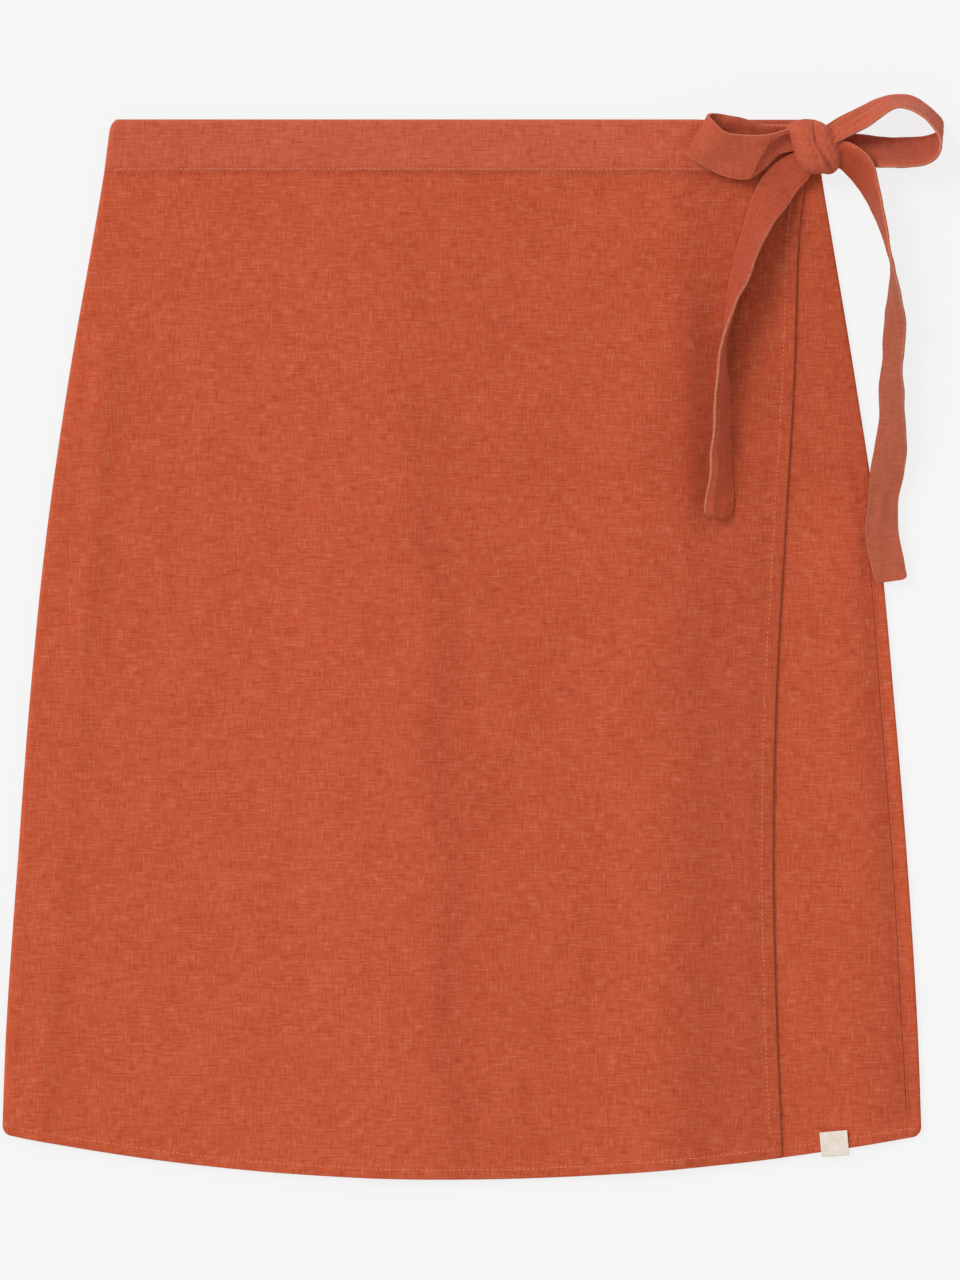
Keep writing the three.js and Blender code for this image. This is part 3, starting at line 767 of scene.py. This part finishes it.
class Look:
    """A material's nodes, added one at a time. An input is a value or another node's output."""

    def __init__(self, name, **settings):
        self.material = bpy.data.materials.new(name)
        self.material.use_nodes = True
        self.tree = self.material.node_tree
        self.shader = self.tree.nodes["Principled BSDF"]
        for socket, value in settings.items():
            self.shader.inputs[socket.replace("_", " ")].default_value = value

    def add(self, kind, inputs=(), output=0, **settings):
        node = self.tree.nodes.new("ShaderNode" + kind)
        for key, value in settings.items():
            setattr(node, key, value)
        for key, value in dict(inputs).items():
            if isinstance(value, bpy.types.NodeSocket):
                self.tree.links.new(value, node.inputs[key])
            else:
                node.inputs[key].default_value = value
        return node.outputs[output]

    def math(self, operation, *values):
        return self.add("Math", dict(enumerate(values)), operation=operation)

    def times(self, a, b):
        return self.math("MULTIPLY", a, b)

    def plus(self, a, b):
        return self.math("ADD", a, b)

    def larger(self, a, b):
        return self.math("MAXIMUM", a, b)

    def weave(self):
        """The weave's coordinates, across and down the cloth."""
        return self.add("UVMap", uv_map="Weave")

    def noise(self, at, across, down, detail=2.0):
        """Noise whose grains are that wide and that long, in millimetres."""
        scale = (1 / (across * MM), 1 / (down * MM), 1.0)
        placed = self.add("Mapping", {"Vector": at, "Scale": scale}, vector_type="POINT")
        return self.add("TexNoise", {"Vector": placed, "Scale": 1.0, "Detail": detail, "Roughness": 0.55})

    def above(self, value, start, end):
        """0 to 1 as a value goes from start to end."""
        inputs = {"Value": value, "From Min": start, "From Max": end}
        return self.add("MapRange", inputs, interpolation_type="SMOOTHSTEP")

    def mixed(self, share, a, b):
        return self.add("Mix", {0: share, 6: a, 7: b}, output=2, data_type="RGBA")

    def paint(self, value):
        self.tree.links.new(value, self.shader.inputs["Base Color"])

    def roughen(self, height, distance, strength):
        """Fine relief in the shader, that high in metres."""
        bump = self.add("Bump", {"Height": height, "Distance": distance, "Strength": strength})
        self.tree.links.new(bump, self.shader.inputs["Normal"])


def tinted(colour, *shares):
    """A colour with each channel times its share, no brighter than white."""
    return (*[min(channel * share, 1.0) for channel, share in zip(colour, shares)], 1.0)


# The linen's noises: how wide and how long their grains are in millimetres, and their detail
GRAINS = {
    "warp": (1.05, 5.5, 0.5), "weft": (7.0, 1.0, 0.5),
    "even_warp": (0.9, 14.0, 1.0), "even_weft": (16.0, 0.9, 1.0),
    "long_warp": (1.2, 22.0, 1.0), "long_weft": (28.0, 1.1, 1.0),
    "grain": (0.8, 0.8, 1.0), "clumps": (7.0, 6.0, 1.0), "patches": (30.0, 36.0, 3.0),
}

# Threads that stand proud, lie deep or are slubs: the noises of their warp, their weft and what breaks them
# up, each with its two ends, and how much of them is mixed in. Proud threads are painted lighter as a painted
# highlight and deep ones darker as painted shade; slubs are lighter yarn.
THREADS = {
    "proud": (("warp", 0.56, 0.74), ("weft", 0.55, 0.73), ("clumps", 0.3, 0.62)),
    "deep": (("warp", 0.44, 0.27), ("weft", 0.45, 0.28), ("clumps", 0.72, 0.38)),
    "slubs": (("long_warp", 0.66, 0.8), ("long_weft", 0.65, 0.79), ("grain", 0.25, 0.65)),
}
MIXED_IN = {"deep": 0.62, "proud": 0.44, "slubs": 0.4, "worn": 0.5}
WORN_ENDS = (0.2, 0.7)

# The plain cloth's shade, from shares of its noises, its two ends, and how high each part stands
SHADE_PARTS = {"even_warp": 0.9, "even_weft": 1.0, "patches": 0.5}
GRAIN_SHARE = 0.4
SHADE_ENDS = (0.94, 1.86)
HEIGHTS = {"weave": 0.3, "proud": 0.6, "deep": 0.4}
THREAD_PITCH = 0.62


def linen(material, colour, slub, contrast):
    """Plain-weave linen: warp and weft of uneven threads, with stray slubs, faded patches and worn edges;
    proud threads painted lighter and deep ones darker, as painted highlight and shade.
    """
    look = Look(material, Roughness=0.93, Sheen_Weight=0.07, Sheen_Roughness=0.5, Specular_IOR_Level=0.22)
    at = look.weave()
    noise = {key: look.noise(at, *size) for key, size in GRAINS.items()}
    light = (*slub, 1.0)

    def found(key, start, end):
        return look.above(noise[key], start, end)

    part = {name: look.times(look.larger(found(*warp), found(*weft)), found(*broken))
            for name, (warp, weft, broken) in THREADS.items()}
    worn = look.times(look.add("Attribute", attribute_name="wear", output=2), found("grain", *WORN_ENDS))
    plain = look.times(noise["grain"], GRAIN_SHARE)
    for key, share in SHADE_PARTS.items():
        plain = look.plus(plain, look.times(noise[key], share))
    cloth = look.mixed(look.above(plain, *SHADE_ENDS), tinted(colour, 0.89, 0.81, 0.72),
                       tinted(colour, 1.11, 1.19, 1.28))
    # Deep threads take a darker tint as painted shade, proud ones the slub colour as painted highlight, slubs
    # their own lighter colour
    for name, tint in (("deep", tinted(colour, 0.74, 0.56, 0.52)), ("proud", light), ("slubs", light)):
        cloth = look.mixed(look.times(part[name], MIXED_IN[name] * contrast), cloth, tint)
    cloth = look.mixed(look.times(worn, MIXED_IN["worn"]), cloth, light)
    # The mesh's tone multiplies the colour: here the panels' and the tie's painted light and shade come in
    tone = look.add("Attribute", attribute_name="tone", output=1)
    look.paint(look.add("VectorMath", {0: cloth, 1: tone}, operation="MULTIPLY"))
    split = look.add("SeparateXYZ", {0: at}).node.outputs
    turns = 2 * math.pi / (THREAD_PITCH * MM)
    over_under = [look.math("SINE", look.times(split[n], turns)) for n in (0, 1)]
    relief = look.plus(plain, look.times(look.times(*over_under), HEIGHTS["weave"]))
    relief = look.plus(relief, look.times(look.larger(part["slubs"], part["proud"]), HEIGHTS["proud"]))
    relief = look.math("SUBTRACT", relief, look.times(part["deep"], HEIGHTS["deep"]))
    look.roughen(relief, 0.00022, 0.55)
    return look.material


def tape(name, colour):
    """Woven cotton tape: a fine rib across it, with a little fluff."""
    look = Look(name, Roughness=0.88, Sheen_Weight=0.1, Sheen_Roughness=0.5, Specular_IOR_Level=0.25)
    at = look.weave()
    rib = look.noise(at, 3.0, 0.45)
    fluff = look.noise(at, 0.7, 0.7)
    patches = look.noise(at, 6.0, 6.0)
    threads = look.plus(rib, look.plus(look.times(fluff, 0.6), look.times(patches, 0.5)))
    shade = look.above(threads, 0.75, 1.4)
    look.paint(look.mixed(shade, tinted(colour, 0.86, 0.83, 0.78), tinted(colour, 1.06, 1.06, 1.08)))
    look.roughen(threads, 0.0002, 0.6)
    return look.material


def thread(name, colour):
    """Sewing thread: twisted, a little glossier than the linen."""
    look = Look(name, Roughness=0.75, Sheen_Weight=0.1, Specular_IOR_Level=0.4)
    twist = look.noise(look.weave(), 0.5, 0.25, 1.0)
    look.paint(look.mixed(look.above(twist, 0.35, 0.65), tinted(colour, 0.85, 0.8, 0.75), (*colour, 1.0)))
    look.roughen(twist, 0.0001, 0.5)
    return look.material


def pale_floor(name):
    """The plain pale paper that the skirt lies on, lit from below too, so that shadows on it are faint."""
    look = Look(name, Roughness=0.95, Specular_IOR_Level=0.1, Emission_Color=(1.0, 1.0, 1.0, 1.0),
                Emission_Strength=0.812)
    at = look.add("TexCoord", output=3)
    tone = look.add("TexNoise", {"Vector": at, "Scale": 3.0, "Detail": 2.0})
    look.paint(look.mixed(tone, (0.1, 0.1, 0.1, 1), (0.105, 0.105, 0.105, 1)))
    return look.material


SLUB = (0.625, 0.180, 0.103)
PANEL_LINEN = linen("panel_linen", (0.52, 0.085, 0.031), SLUB, 1.0)
BAND_LINEN = linen("band_linen", (0.555, 0.103, 0.046), SLUB, 1.0)
TIE_LINEN = linen("tie_linen", (0.515, 0.100, 0.047), SLUB, 0.5)
TAPE = tape("cotton_tape_weave", (0.80, 0.725, 0.64))
THREAD = thread("sewing_thread", (0.76, 0.26, 0.14))
WAIST_THREAD = thread("waist_thread", (0.655, 0.168, 0.085))
TIE_THREAD = thread("tie_thread", (0.56, 0.125, 0.062))


def dress(piece, node):
    """Piece stands for a node, which it hides, and goes under the root body."""
    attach(piece, "root")
    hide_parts(node)
    return piece


def add_to(piece):
    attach(piece, "root")
    return piece


PANEL = {"slot": "linen", "material": PANEL_LINEN, "thickness": CLOTH}
BAND = {"slot": "waistband_linen", "material": BAND_LINEN, "thickness": BAND_CLOTH}


def layer(node, cloth, columns, drops_at, tone_at):
    """One layer of cloth, in place of its node."""
    grids = layer_grids(columns, drops_at, cloth["thickness"], tone_at)
    return dress(shell(node + "_linen", *grids, cloth["material"]), node)


def at_drop(drop):
    """A top or a foot that is straight across."""
    return lambda x: drop + 0.0 * x


def back_foot(x):
    return hem_drop(x) - BACK_SHORT * (1 - smooth(x, *SHORT_ENDS))


def over_band_top(x):
    return BAND_DIP * smooth(x, *DIP_ENDS)


panel_top, band_foot = at_drop(BAND_DEPTH - PANEL_TUCK), at_drop(BAND_DEPTH - GAP / 2)
panel_rows = row_drops(panel_top, hem_drop, DOWN["panel"], FOOT_RISES, WAIST_DIPS)
back_rows = row_drops(panel_top, back_foot, DOWN["panel"], FOOT_RISES, WAIST_DIPS)
band_rows = row_drops(at_drop(0.0), band_foot, DOWN["band"], BAND_RISES)
over_band_rows = row_drops(over_band_top, band_foot, DOWN["band"], BAND_RISES)

back = layer("back_panel", PANEL, back_columns(PANEL_WALL, 1.0), back_rows, back_shading_and_tone)
under = layer("under_front", PANEL, under_columns(under_face, *ACROSS["under"]), panel_rows, under_shading_and_tone)
over = layer("over_front", PANEL, over_columns(PANEL_WALL, over_face, ACROSS["over"], EDGE_INSETS),
             panel_rows, over_painted_shading)
band_back = layer("waistband_back", BAND, back_columns(BAND_WALL, 0.0), band_rows, plain_tone(1.0))
# The hidden waistband takes painted shade all over, for the strip of it that shows under the over band's dip
band_under = layer("waistband_under", BAND, under_columns(under_band_face, *ACROSS["band_under"]), band_rows,
                   plain_tone(UNDER_BAND_PAINTED_SHADE))
band_over = layer("waistband_over", BAND,
                  over_columns(BAND_WALL, band_face, ACROSS["band_over"], BAND_INSETS), over_band_rows,
                  plain_tone(1.0))


def label_tab():
    """The bare hem tab: a short piece of tape on the under front's face, its corners a little up."""
    turn = math.radians(LABEL["turn"])
    across, up = np.meshgrid(np.linspace(-0.5, 0.5, 26), np.linspace(-0.5, 0.5, 24))
    u, v = across * LABEL["width"], up * LABEL["height"]
    x = LABEL["x"] + u * math.cos(turn) - v * math.sin(turn)
    y = LABEL["y"] + u * math.sin(turn) + v * math.cos(turn)
    rest = under_height(x, WAIST_Y - y, PANEL_WALL) + PANEL_WALL / 2 + HEM_PROUD + GAP
    curl = LABEL["curl"] * (2 * np.abs(across)) ** 6 * (0.5 + up)
    curl = curl + LABEL["ripple"] * np.cos(9 * across + 4 * up)
    top = np.stack([x, y, rest + LABEL["thickness"] + curl], -1)
    foot = np.stack([x, y, rest + LABEL["lift"] + curl], -1)
    return shell("hem_label_tape", top, foot, np.stack([u, v], -1), np.ones(u.shape), TAPE)


label = dress(label_tab(), "hem_label")

# The knot seen from above: how far it reaches at each angle from its middle, and the fold that runs down it
KNOT_REACH = table("angle reach", [
    (-171.6, 11.0), (-157.5, 11.4), (-128.4, 12.6), (-109.4, 14.0), (-74, 14.8), (-58, 17.0), (-40.6, 17.2),
    (-31.7, 16.3), (4.6, 13.7), (40.2, 12.8), (55.4, 13.2), (92.5, 14.8), (113.6, 16.4), (143, 18.4),
    (160, 13.6), (188.4, 11.0),
])
KNOT_FOLD = table("y x", [
    (-15, 9.9), (-10.2, 7.5), (-4, 3.2), (1.1, 0.2), (6, -0.9), (11.4, -1.3), (16, -1.3),
])

# The knot's points round and down, where its top face begins, the fold's groove, which deepens towards the
# foot, the step and lobes beside it, small wrinkles, the ribs of the cloth under it, and wear along the fold
KNOT_GRID = (120, 64)
KNOT_TOP = (-1.0, 3.5)
KNOT_GROOVE = {"depth": (1.3, 2.9), "spread": (0.75, 1.25), "at": 0.5, "deepens": (4.0, 10.0)}
KNOT_STEP = {"depth": 0.9, "ends": (-0.2, 1.2)}
KNOT_LOBES = ((0.7, 5.5), (0.6, -5.0))
LOBE_SPREAD = 3.5
KNOT_WRINKLES = {"height": 0.16, "bend": 0.03, "pitch": 4.4}
KNOT_CREASES = {"height": 0.1, "turn": math.radians(-28.0), "rate": 1.9}
KNOT_RIBS = {"height": 0.25, "lean": 0.4, "pitch": 4.3}
KNOT_WEAR = {"strength": 0.8, "at": -0.4, "spread": 0.5}


def knot_relief(x, y, off, top):
    """The knot's relief over its plain round form: its fold, lobes and wrinkles on top, and ribs below."""
    deeper = smooth(-y, *KNOT_GROOVE["deepens"])
    fold = -lerp(*KNOT_GROOVE["depth"], deeper)
    fold = fold * mound(off - KNOT_GROOVE["at"], lerp(*KNOT_GROOVE["spread"], deeper))
    lobes = -KNOT_STEP["depth"] * smooth(off, *KNOT_STEP["ends"])
    for height, middle in KNOT_LOBES:
        lobes = lobes + height * mound(off - middle, LOBE_SPREAD)
    bent = off + KNOT_WRINKLES["bend"] * y * y
    wrinkles = KNOT_WRINKLES["height"] * np.cos(2 * math.pi * bent / KNOT_WRINKLES["pitch"])
    across = x * math.cos(KNOT_CREASES["turn"]) + y * math.sin(KNOT_CREASES["turn"])
    wrinkles = wrinkles + KNOT_CREASES["height"] * np.cos(across * KNOT_CREASES["rate"] + 1.0)
    rib = KNOT_RIBS["height"] * np.cos(2 * math.pi * (x + KNOT_RIBS["lean"] * y) / KNOT_RIBS["pitch"])
    return top * (fold + lobes + wrinkles) + (1 - top) * rib


def knot_form(name):
    """The knot: a turn of tie wrapped over the rest, with a fold down it and a tucked end at its foot."""
    around, high = KNOT_GRID
    theta, phi = np.meshgrid(np.linspace(-math.pi, math.pi, around, endpoint=False),
                             np.linspace(0.0, math.pi, high)[1:-1])
    angle = np.degrees(theta)
    angle = np.where(angle < KNOT_REACH["angle"][0], angle + 360, angle)
    reach = along(KNOT_REACH, angle, "reach") * np.sin(phi) ** 0.75
    rise = KNOT["high"] * np.sign(np.cos(phi)) * np.abs(np.cos(phi)) ** 0.9
    x = np.append((reach * np.cos(theta)).ravel(), [0.0, 0.0])
    y = np.append((reach * np.sin(theta)).ravel(), [0.0, 0.0])
    z = np.append(rise.ravel(), [KNOT["high"], -KNOT["high"]])
    top = smooth(z, *KNOT_TOP)
    off = x - held(KNOT_FOLD, y)
    z = z + knot_relief(x, y, off, top)
    points = np.stack([KNOT["x"] + x, KNOT["y"] + y, KNOT["z"] + z], -1)
    ring = np.arange((high - 2) * around).reshape(high - 2, around)
    ends = ((len(points) - 2, np.roll(ring[0], -1), ring[0]),
            (len(points) - 1, ring[-1], np.roll(ring[-1], -1)))
    caps = [(end, a, b) for end, one, other in ends for a, b in zip(one.tolist(), other.tolist())]
    weave = np.stack([off, 1.1 * y + 0.5 * z], -1)
    wear = KNOT_WEAR["strength"] * mound(off - KNOT_WEAR["at"], KNOT_WEAR["spread"]) * top
    faces = ring_quads(ring).tolist() + caps
    return mesh_object(name, points, faces, weave, wear, np.ones((1, 3)), TIE_LINEN)


knot = dress(knot_form("tie_knot_linen"), "tie_knot")

TIE_RUMPLE = waves(13, 26, 8, 30, 0.08)
TIE_EDGE = waves(17, 12, 12, 44, 0.07)

# How each stretch of tie lies: the real width that its small folds take up, their depth, count and phase, how
# far its far edge curls up and its cut end is rounded, and its tints by station, on its near and far side.
# Most of the tints are painted shade, as told for each stretch.
# The left loop's tints: painted shade inside the loop, darkest on its back strand's near side
LOOP_LEFT_FORM = {
    "real": 23.5, "depth": 0.2, "count": 3.0, "phase": 0.6, "curl": 0.0, "round": 0.0,
    "near": [(0, 0.8, 0.72, 0.66), (3.5, 0.72, 0.6, 0.54), (5.0, 0.84, 0.8, 0.78), (5.8, 0.96, 0.95, 0.93)],
    "far": [(0, 0.94, 0.92, 0.9), (11, 0.97, 0.97, 0.96)],
}
# The right loop's tints: painted shade on its lower strand, darkest towards the knot
LOOP_RIGHT_FORM = {
    "real": 23.5, "depth": 0.5, "count": 3.0, "phase": 1.4, "curl": 0.0, "round": 0.0,
    "near": [(0, 0.98, 0.98, 0.96), (5, 1.0, 1.0, 1.0), (7, 0.88, 0.9, 0.92), (10, 0.82, 0.82, 0.84),
             (13, 0.7, 0.68, 0.66)],
    "far": [(0, 0.94, 0.9, 0.86), (5, 1.0, 1.0, 1.0), (7, 0.89, 0.92, 0.92), (10, 0.93, 0.93, 0.9),
            (13, 0.86, 0.82, 0.76)],
}
# The left tail's tints: painted shade by the knot and on its far edge lower down; lower down the near side is
# browner and less blue, standing in for the look of its shaded face
TAIL_LEFT_FORM = {
    "real": 19.5, "depth": 0.25, "count": 2.0, "phase": 2.2, "curl": 1.8, "round": 6.0,
    "near": [(0, 0.86, 0.76, 0.70), (5, 0.85, 0.74, 0.67), (7, 0.98, 0.82, 0.62), (11, 1.04, 0.87, 0.66)],
    "far": [(0, 0.86, 0.76, 0.70), (5, 0.84, 0.78, 0.74), (7, 0.86, 0.86, 0.82), (11, 0.9, 0.9, 0.84)],
}
# The right tail's tints: painted shade on its near side by the knot, with a deeper red on both sides there;
# lower down it is paler and less red
TAIL_RIGHT_FORM = {
    "real": 18.0, "depth": 0.5, "count": 2.0, "phase": 3.0, "curl": 0.0, "round": 3.0,
    "near": [(0, 0.76, 0.6, 0.5), (2.5, 0.84, 0.7, 0.6), (5, 0.92, 0.84, 0.76), (6.5, 0.79, 0.97, 1.04),
             (11, 0.79, 0.97, 1.04), (15, 0.96, 1.07, 1.12)],
    "far": [(0, 1.0, 0.94, 0.88), (3, 0.98, 0.92, 0.86), (5, 0.92, 0.84, 0.76), (6.5, 0.79, 0.97, 1.04),
            (11, 0.79, 0.97, 1.04), (15, 0.96, 1.07, 1.12)],
}

# Across the tie, from -1 to 1: where the far tints come in, where its edges are light, and where the far edge
# curls, from which stations on. Then its points across and by station, and how its folds and wall vary.
TINT_ENDS = (0.5, 0.95)
RIM_ENDS = (0.93, 1.0)
RIM_LIGHT = (0.1, 0.4, 0.5)
CURL_ENDS = (0.55, 1.0)
CURL_STATIONS = (5, 7)
TUCK_SOFT = 0.12
TIE_CELLS = 21
TIE_STEPS = 16
FOLD_DRIFT = 0.05
MOST_SPARE = 1.2
THIN_WALL = 0.72

# Edges waver, but not by the knot and at the end. Weaves and wavers lie far apart, so that no two are alike.
WAVER_STARTS = (6, 20)
WAVER_ENDS = (-14, -4)
WEAVE_APART = 200
WAVER_APART = 300
SIDES_APART = 90

# Stitch rows: the points across that they follow, and the rows that they leave out by the knot and at the end
TIE_STITCH_SIDES = (2, 18)
TIE_STITCH_STARTS = 26
TIE_STITCH_END = 8


def tints_at(place, tones):
    """Tints along a stretch of tie, from rows of place, red, green and blue."""
    tones = np.array(tones)
    return np.stack([np.interp(place, tones[:, 0], tones[:, n]) for n in (1, 2, 3)], -1)


def tie_tints(place, side, form):
    """Tints over a stretch of tie, from its near side to its far one, with light edges."""
    near, far = tints_at(place, form["near"]), tints_at(place, form["far"])
    tint = lerp(near[:, None], far[:, None], smooth(side, *TINT_ENDS)[None, :, None])
    return tint * (1 + smooth(np.abs(side), *RIM_ENDS)[None, :, None] * np.array(RIM_LIGHT))


def tie_path(rows, place):
    """A stretch's middle line, and the ways across the cloth and out of it."""
    centre = np.stack([along(rows, place, axis) for axis in "xyz"], -1) + [KNOT["x"], KNOT["y"], 0.0]
    across, rise = [np.radians(along(rows, place, angle)) for angle in ("across", "rise")]
    wide = np.stack([np.cos(across) * np.cos(rise), np.sin(across) * np.cos(rise), np.sin(rise)], -1)
    out = unit(np.cross(unit(np.gradient(centre, axis=0)), wide))
    return centre, wide, out


def tie_grids(rows, form):
    """A stretch of tie along its stations: both faces, the weave's coordinates and the tints."""
    last = len(rows["x"]) - 1
    rows = {"place": np.arange(last + 1.0), **rows}
    place = np.linspace(0, last, last * TIE_STEPS + 1)
    side = np.sin(np.linspace(-math.pi / 2, math.pi / 2, TIE_CELLS))
    tint = tie_tints(place, side, form)
    centre, wide, out = [grid[:, None] for grid in tie_path(rows, place)]
    run, place = distance_along(centre[:, 0])[:, None], place[:, None]
    width = along(rows, place, "width")
    half = width / 2 - corner_inset(run, run[-1], form["round"])
    spare = np.clip(form["real"] / width - 1, 0, MOST_SPARE)
    deep = form["depth"] * width / (math.pi * form["count"]) * np.sqrt(spare)
    turns = math.pi * form["count"] * side + form["phase"] + FOLD_DRIFT * run
    far = run + 0 * side + WEAVE_APART * form["phase"]
    raised = deep * np.cos(turns) + TIE_RUMPLE(half * side, far)
    raised = raised + form["curl"] * smooth(side, *CURL_ENDS) * smooth(place, *CURL_STATIONS)
    if "tuck" in rows:
        fold = along(rows, place, "fold")
        raised = raised - along(rows, place, "tuck") * (1 - smooth(side, fold - TUCK_SOFT, fold + TUCK_SOFT))
    steady = within(run, WAVER_STARTS, run[-1] + np.array(WAVER_ENDS))
    near_waver, far_waver = [steady * TIE_EDGE(run, 0 * run + WAVER_APART * form["phase"] + shift)
                             for shift in (0, SIDES_APART)]
    reach = lerp(near_waver - half, far_waver + half, (side + 1) / 2)
    middle = centre + wide * reach[..., None] + out * raised[..., None]
    half_wall = out * (TIE_WALL / 2 * (THIN_WALL + (1 - THIN_WALL) * side ** 4))[None, :, None]
    weave = np.stack(np.broadcast_arrays(TIE_WIDTH / 2 * side, far), -1)
    return middle + half_wall, middle - half_wall, weave, tint


def tie(node, rows, form):
    """A stretch of tie and the stitches along both its edges, on both its faces."""
    outer, inner, weave, tone = tie_grids(rows, form)
    faces = [(outer.copy(), outer - inner), (inner.copy(), inner - outer)]
    piece = dress(shell(node + "_linen", outer, inner, weave, tone, TIE_LINEN), node)
    sewn_rows = slice(TIE_STITCH_STARTS, -TIE_STITCH_END if form["round"] else -TIE_STITCH_STARTS)
    sewn = []
    for n, (face, out) in enumerate(faces):
        for side in TIE_STITCH_SIDES:
            sewn.append(stitches(f"{node}_stitches_{n}_{side}", face[sewn_rows, side], out[sewn_rows, side],
                                 40 + side + n, TIE_THICK, TIE_THREAD))
    return piece, sewn


# A stitch's rings: how far along it they are and how thick they are, as shares
STITCH_RINGS = ((-0.5, 0.25), (-0.36, 0.8), (0.0, 1.0), (0.36, 0.8), (0.5, 0.25))
STITCH_SIDES = 6
STITCH_CAP = ((0, 1, 2, 3), (0, 3, 4, 5))


def stitch_form():
    """One stitch: a short rounded bead of thread along x, as points and quads."""
    place, thick = np.array(STITCH_RINGS).T[..., None]
    turn = np.linspace(0, 2 * math.pi, STITCH_SIDES, endpoint=False)
    radius = thick * STITCH["thick"] / 2
    points = [place * STITCH["long"], np.cos(turn) * radius, np.sin(turn) * radius]
    points = np.stack(np.broadcast_arrays(*points), -1).reshape(-1, 3)
    ring = np.arange(len(points)).reshape(-1, STITCH_SIDES)
    caps = ring[[0, -1]][:, STITCH_CAP].reshape(-1, 4)
    return points, np.concatenate([ring_quads(ring), caps])


def stitches(name, line, out, seed, thick=1.0, material=THREAD):
    """Stitches along a line of points, pressed into the cloth, with a little unevenness."""
    rng = np.random.default_rng(seed)
    run = distance_along(line)
    at = np.arange(STITCH["pitch"], run[-1] - STITCH["pitch"] / 2, STITCH["pitch"])
    at = at + rng.uniform(*UNEVEN["pitch"], len(at))

    def sample(values, where):
        return np.stack([np.interp(where, run, values[:, n]) for n in range(3)], -1)

    way = unit(sample(line, at + STITCH_STEP) - sample(line, at - STITCH_STEP))
    side = np.cross(unit(sample(out, at)), way)
    up = np.cross(way, side)
    way = way + side * rng.uniform(*UNEVEN["swing"], len(at))[:, None]
    grow = rng.uniform(*UNEVEN["long"], len(at))
    middle = sample(line, at) - up * rng.uniform(*STITCH["sink"], len(at))[:, None]
    middle = middle + side * rng.uniform(*UNEVEN["sway"], len(at))[:, None]
    points, faces = stitch_form()
    long, wide, tall = (points * [1.0, thick, min(thick, TALLEST_STITCH)]).T[..., None]
    beads = middle[:, None] + way[:, None] * (long * grow[:, None, None])
    beads = (beads + side[:, None] * wide + up[:, None] * tall).reshape(-1, 3)
    quads = (faces + (np.arange(len(at)) * len(points))[:, None, None]).reshape(-1, 4)
    wear = np.zeros(len(beads))
    piece = mesh_object(name, beads, quads.tolist(), beads[:, :2], wear, np.ones((1, 3)), material)
    return add_to(piece)


def row_on(name, x, drop, face_at, seed, thick=1.0, material=THREAD):
    """A row of stitches on a front's face."""
    line = np.stack([x, WAIST_Y - drop, face_at(x, drop)], -1)
    out = np.tile([0.0, 0.0, 1.0], (len(x), 1))
    return stitches(name, line, out, seed, thick, material)


def points_between(start, end, short):
    """Even points between two places, short of each by so much."""
    return np.linspace(start + short[0], end - short[1], 900)


waist_x = points_between(left_at(BAND_DEPTH), edge_at(BAND_DEPTH), ROW_ENDS["waist"])
waist_seam = row_on("waist_stitches", waist_x, BAND_DEPTH - WAIST_STITCH + 0.0 * waist_x, band_face, 21,
                    WAIST_THICK / STITCH["thick"], WAIST_THREAD)
foot_x = points_between(left_at(SIDE_DROP), edge_at(SIDE_DROP), ROW_ENDS["foot"])
foot_seam = row_on("over_hem_stitches", foot_x, hem_drop(foot_x) - FOOT_STITCH, over_face, 22)
edge_drop = points_between(BAND_DEPTH, LENGTH, ROW_ENDS["edge"])
edge_seam = row_on("front_edge_stitches", edge_at(edge_drop) - EDGE_STITCH, edge_drop, over_face, 23)
side_x = points_between(edge_at(SIDE_DROP), right_at(SIDE_DROP - FOOT_STITCH), ROW_ENDS["side"])
side_seam = row_on("under_hem_stitches", side_x, hem_drop(side_x) - FOOT_STITCH, side_face, 24)

loop_left, loop_left_sewn = tie("tie_loop_left", LOOP_LEFT, LOOP_LEFT_FORM)
loop_right, loop_right_sewn = tie("tie_loop_right", LOOP_RIGHT, LOOP_RIGHT_FORM)
tail_left, tail_left_sewn = tie("tie_tail_left", TAIL_LEFT, TAIL_LEFT_FORM)
tail_right, tail_right_sewn = tie("tie_tail_right", TAIL_RIGHT, TAIL_RIGHT_FORM)


def floor_and_light():
    """A pale floor just under the skirt, a soft key light from the upper left and an even fill."""
    mesh = bpy.data.meshes.new("floor")
    size, z = FLOOR_HALF * MM, -GAP * MM
    corners = [(-size, -size, z), (size, -size, z), (size, size, z), (-size, size, z)]
    mesh.from_pydata(corners, [], [(0, 1, 2, 3)])
    mesh.materials.append(pale_floor("pale_floor"))
    placed("floor", mesh)
    sun = bpy.data.lights.new("key", "SUN")
    sun.energy = KEY["strength"]
    sun.angle = math.radians(KEY["softness"])
    turn, height = math.radians(KEY["turn"]), math.radians(KEY["height"])
    way = Vector((math.cos(turn) * math.cos(height), math.sin(turn) * math.cos(height), math.sin(height)))
    placed("key", sun).rotation_euler = way.to_track_quat("Z", "Y").to_euler()
    world = bpy.data.worlds.new("studio")
    world.use_nodes = True
    backdrop = world.node_tree.nodes["Background"]
    backdrop.inputs[0].default_value = (1.0, 1.0, 1.0, 1.0)
    backdrop.inputs[1].default_value = FILL
    bpy.context.scene.world = world


def camera():
    """Straight down, with a long lens, at the photo's framing."""
    data = bpy.data.cameras.new("camera")
    data.sensor_width = SENSOR
    data.lens = LENS
    data.clip_end = 100.0
    made = placed("camera", data)
    made.location = (PHOTO_MIDDLE[0] * MM, PHOTO_MIDDLE[1] * MM, PHOTO_HEIGHT * MM * LENS / SENSOR)
    bpy.context.scene.camera = made


floor_and_light()
camera()
bpy.context.scene.view_settings.view_transform = "Standard"
